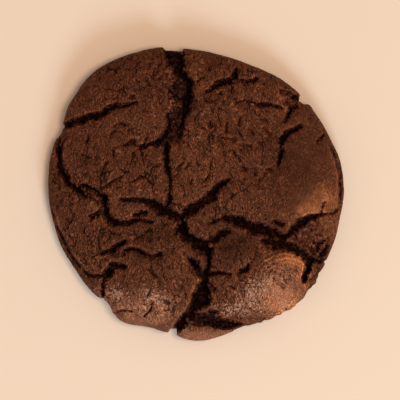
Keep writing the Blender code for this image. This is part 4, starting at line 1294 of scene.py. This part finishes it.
# %% The crumbs' material
CRUMB_BROWN = (0.22, 0.063, 0.029, 1.0)
CRUMB_DARK = (0.035, 0.0098, 0.0055, 1.0)
CRUMB_GRAIN = {"Peel Size": 0.5 * MM, "Crease Size": 1.0 * MM, "Fine Crease Size": 0.7 * MM,
               "Seed": 2.0}
CRUMB_DEEP = 0.8  # how black painted shade makes the deepest crumbs
CRUMB_ROUGHNESS = 0.7
CRUMB_BUMP, CRUMB_BUMP_DEPTH = 0.6, 0.15 * MM


def crumb_material():
    material, tree, shader = new_material("torn_crumb")
    spot = add(tree, "ShaderNodeTexCoord").outputs["Object"]
    colour = use_group(tree, MOTTLE, {
        "Vector": spot, "Blotch": 3.0 * MM, "Speck": 0.6 * MM,
        "Colour": CRUMB_DARK, "Other Colour": CRUMB_BROWN})["Colour"]
    # Painted shade: deeper crumbs turn black.
    black = times(tree, stored(tree, "deep"), CRUMB_DEEP)
    grain = use_group(tree, GRAIN_AND_SHADE, {"Vector": spot, **CRUMB_GRAIN})
    bump = add(tree, "ShaderNodeBump", {
        "Strength": CRUMB_BUMP, "Distance": CRUMB_BUMP_DEPTH, "Height": grain["Height"]})
    feed(tree, shader, {
        "Base Color": blend_colour(tree, black, colour, TORN_SHADE_BLACK),
        "Roughness": CRUMB_ROUGHNESS, "Specular IOR Level": CRUST_SHINE,
        "Normal": bump.outputs[0]})
    return material


TORN_CRUMB = crumb_material()
print("material", TORN_CRUMB.name, "has", len(TORN_CRUMB.node_tree.nodes), "nodes")

# %% [markdown]
# The crumbs are small enough to leave the cracks dark between them, and they are scattered
# over the finished crust, because that is the surface they cling to.

# %% Scatter the crumbs
CRUMBS = {
    "Per Square Metre": 1.0e6, "Smallest": 0.2 * MM, "Largest": 0.55 * MM,
    "Seed": 11, "Finish": TORN_CRUMB,
}
torn_crumbs = finished_piece("torn_crumbs", run_tree(crust_mesh, clinging_crumbs, CRUMBS))

# %% [markdown]
# ## On the frame
#
# The crust and its crumbs both ride on the solid's one body. The crust stands for the
# plain solid, which is then not shown.

# %% Join the pieces to the frame
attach(cookie_crust, "root")
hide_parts("cookie")
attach(torn_crumbs, "root")
print("cookie_crust and torn_crumbs ride on root")

# %% [markdown]
# ## The set
#
# The set is a smooth floor in pale peach, so wide that no view from the side shows an end
# of it.

# %% Floor
FLOOR_PEACH = (0.80, 0.60, 0.45, 1.0)
FLOOR_RADIUS, FLOOR_SIDES = 4.0, 96
FLOOR_ROUGHNESS, FLOOR_SHINE = 0.8, 0.1


def stage_floor():
    bpy.ops.mesh.primitive_circle_add(
        vertices=FLOOR_SIDES, radius=FLOOR_RADIUS, fill_type="NGON")
    floor = bpy.context.object
    floor.name = "table_top"
    material, tree, shader = new_material("peach_table")
    feed(tree, shader, {
        "Base Color": FLOOR_PEACH, "Roughness": FLOOR_ROUGHNESS,
        "Specular IOR Level": FLOOR_SHINE})
    floor.data.materials.append(material)


stage_floor()
print("the floor is", 2 * FLOOR_RADIUS, "m wide")

# %% [markdown]
# A soft light stands low in front of the cookie and a little to the right, so each crack's
# far wall catches light, and a soft shadow falls towards the top and a little to the left.
# A second light nearly overhead and an even glow from all around lift the shadows.

# %% Light
LIGHTS = {  # bearing, degrees above the floor, distance, size, power, colour
    "low_window": (288.0, 35.0, 1.0, 0.35, 7.05, (0.505, 0.778, 1.0)),
    "soft_overhead": (0.0, 75.0, 1.0, 0.35, 4.43, (1.0, 0.834, 0.65)),
}
AROUND_COLOUR = (1.0, 0.873, 0.815, 1.0)
AROUND_STRENGTH = 0.513


def stage_light():
    for name, (bearing, rise, distance, size, power, colour) in LIGHTS.items():
        lamp = bpy.data.lights.new(name, "AREA")
        lamp.shape = "DISK"
        lamp.size = size
        lamp.energy = power
        lamp.color = colour
        holder = new_object(name, lamp)
        turn, lift = np.radians(bearing), np.radians(rise)
        towards = Vector((np.cos(lift) * np.cos(turn), np.cos(lift) * np.sin(turn), np.sin(lift)))
        holder.location = towards * distance
        holder.rotation_euler = towards.to_track_quat("Z", "Y").to_euler()
    world = bpy.data.worlds.new("pale_room")
    world.use_nodes = True
    feed(world.node_tree, world.node_tree.nodes["Background"],
         {"Color": AROUND_COLOUR, "Strength": AROUND_STRENGTH})
    bpy.context.scene.world = world
    bpy.context.scene.view_settings.view_transform = "Standard"


stage_light()
print("lights:", ", ".join(LIGHTS))

# %% [markdown]
# The camera looks straight down from so far off that the cookie's side hardly shows. Its
# lens follows from the width that the picture covers.

# %% Camera
CAMERA_HEIGHT = 2.0
PICTURE_CENTRE = (1.05 * MM, -1.58 * MM)
PICTURE_SIDE = 105.4 * MM  # what the picture's width covers at the cookie's widest line
SENSOR = 36.0


def overhead_camera():
    eye = bpy.data.cameras.new("overhead")
    eye.sensor_width = SENSOR
    eye.lens = SENSOR * (CAMERA_HEIGHT - WIDEST_HEIGHT * MM) / PICTURE_SIDE
    holder = new_object("overhead", eye)
    holder.location = (*PICTURE_CENTRE, CAMERA_HEIGHT)
    bpy.context.scene.camera = holder
    print("lens:", round(eye.lens), "mm")


overhead_camera()
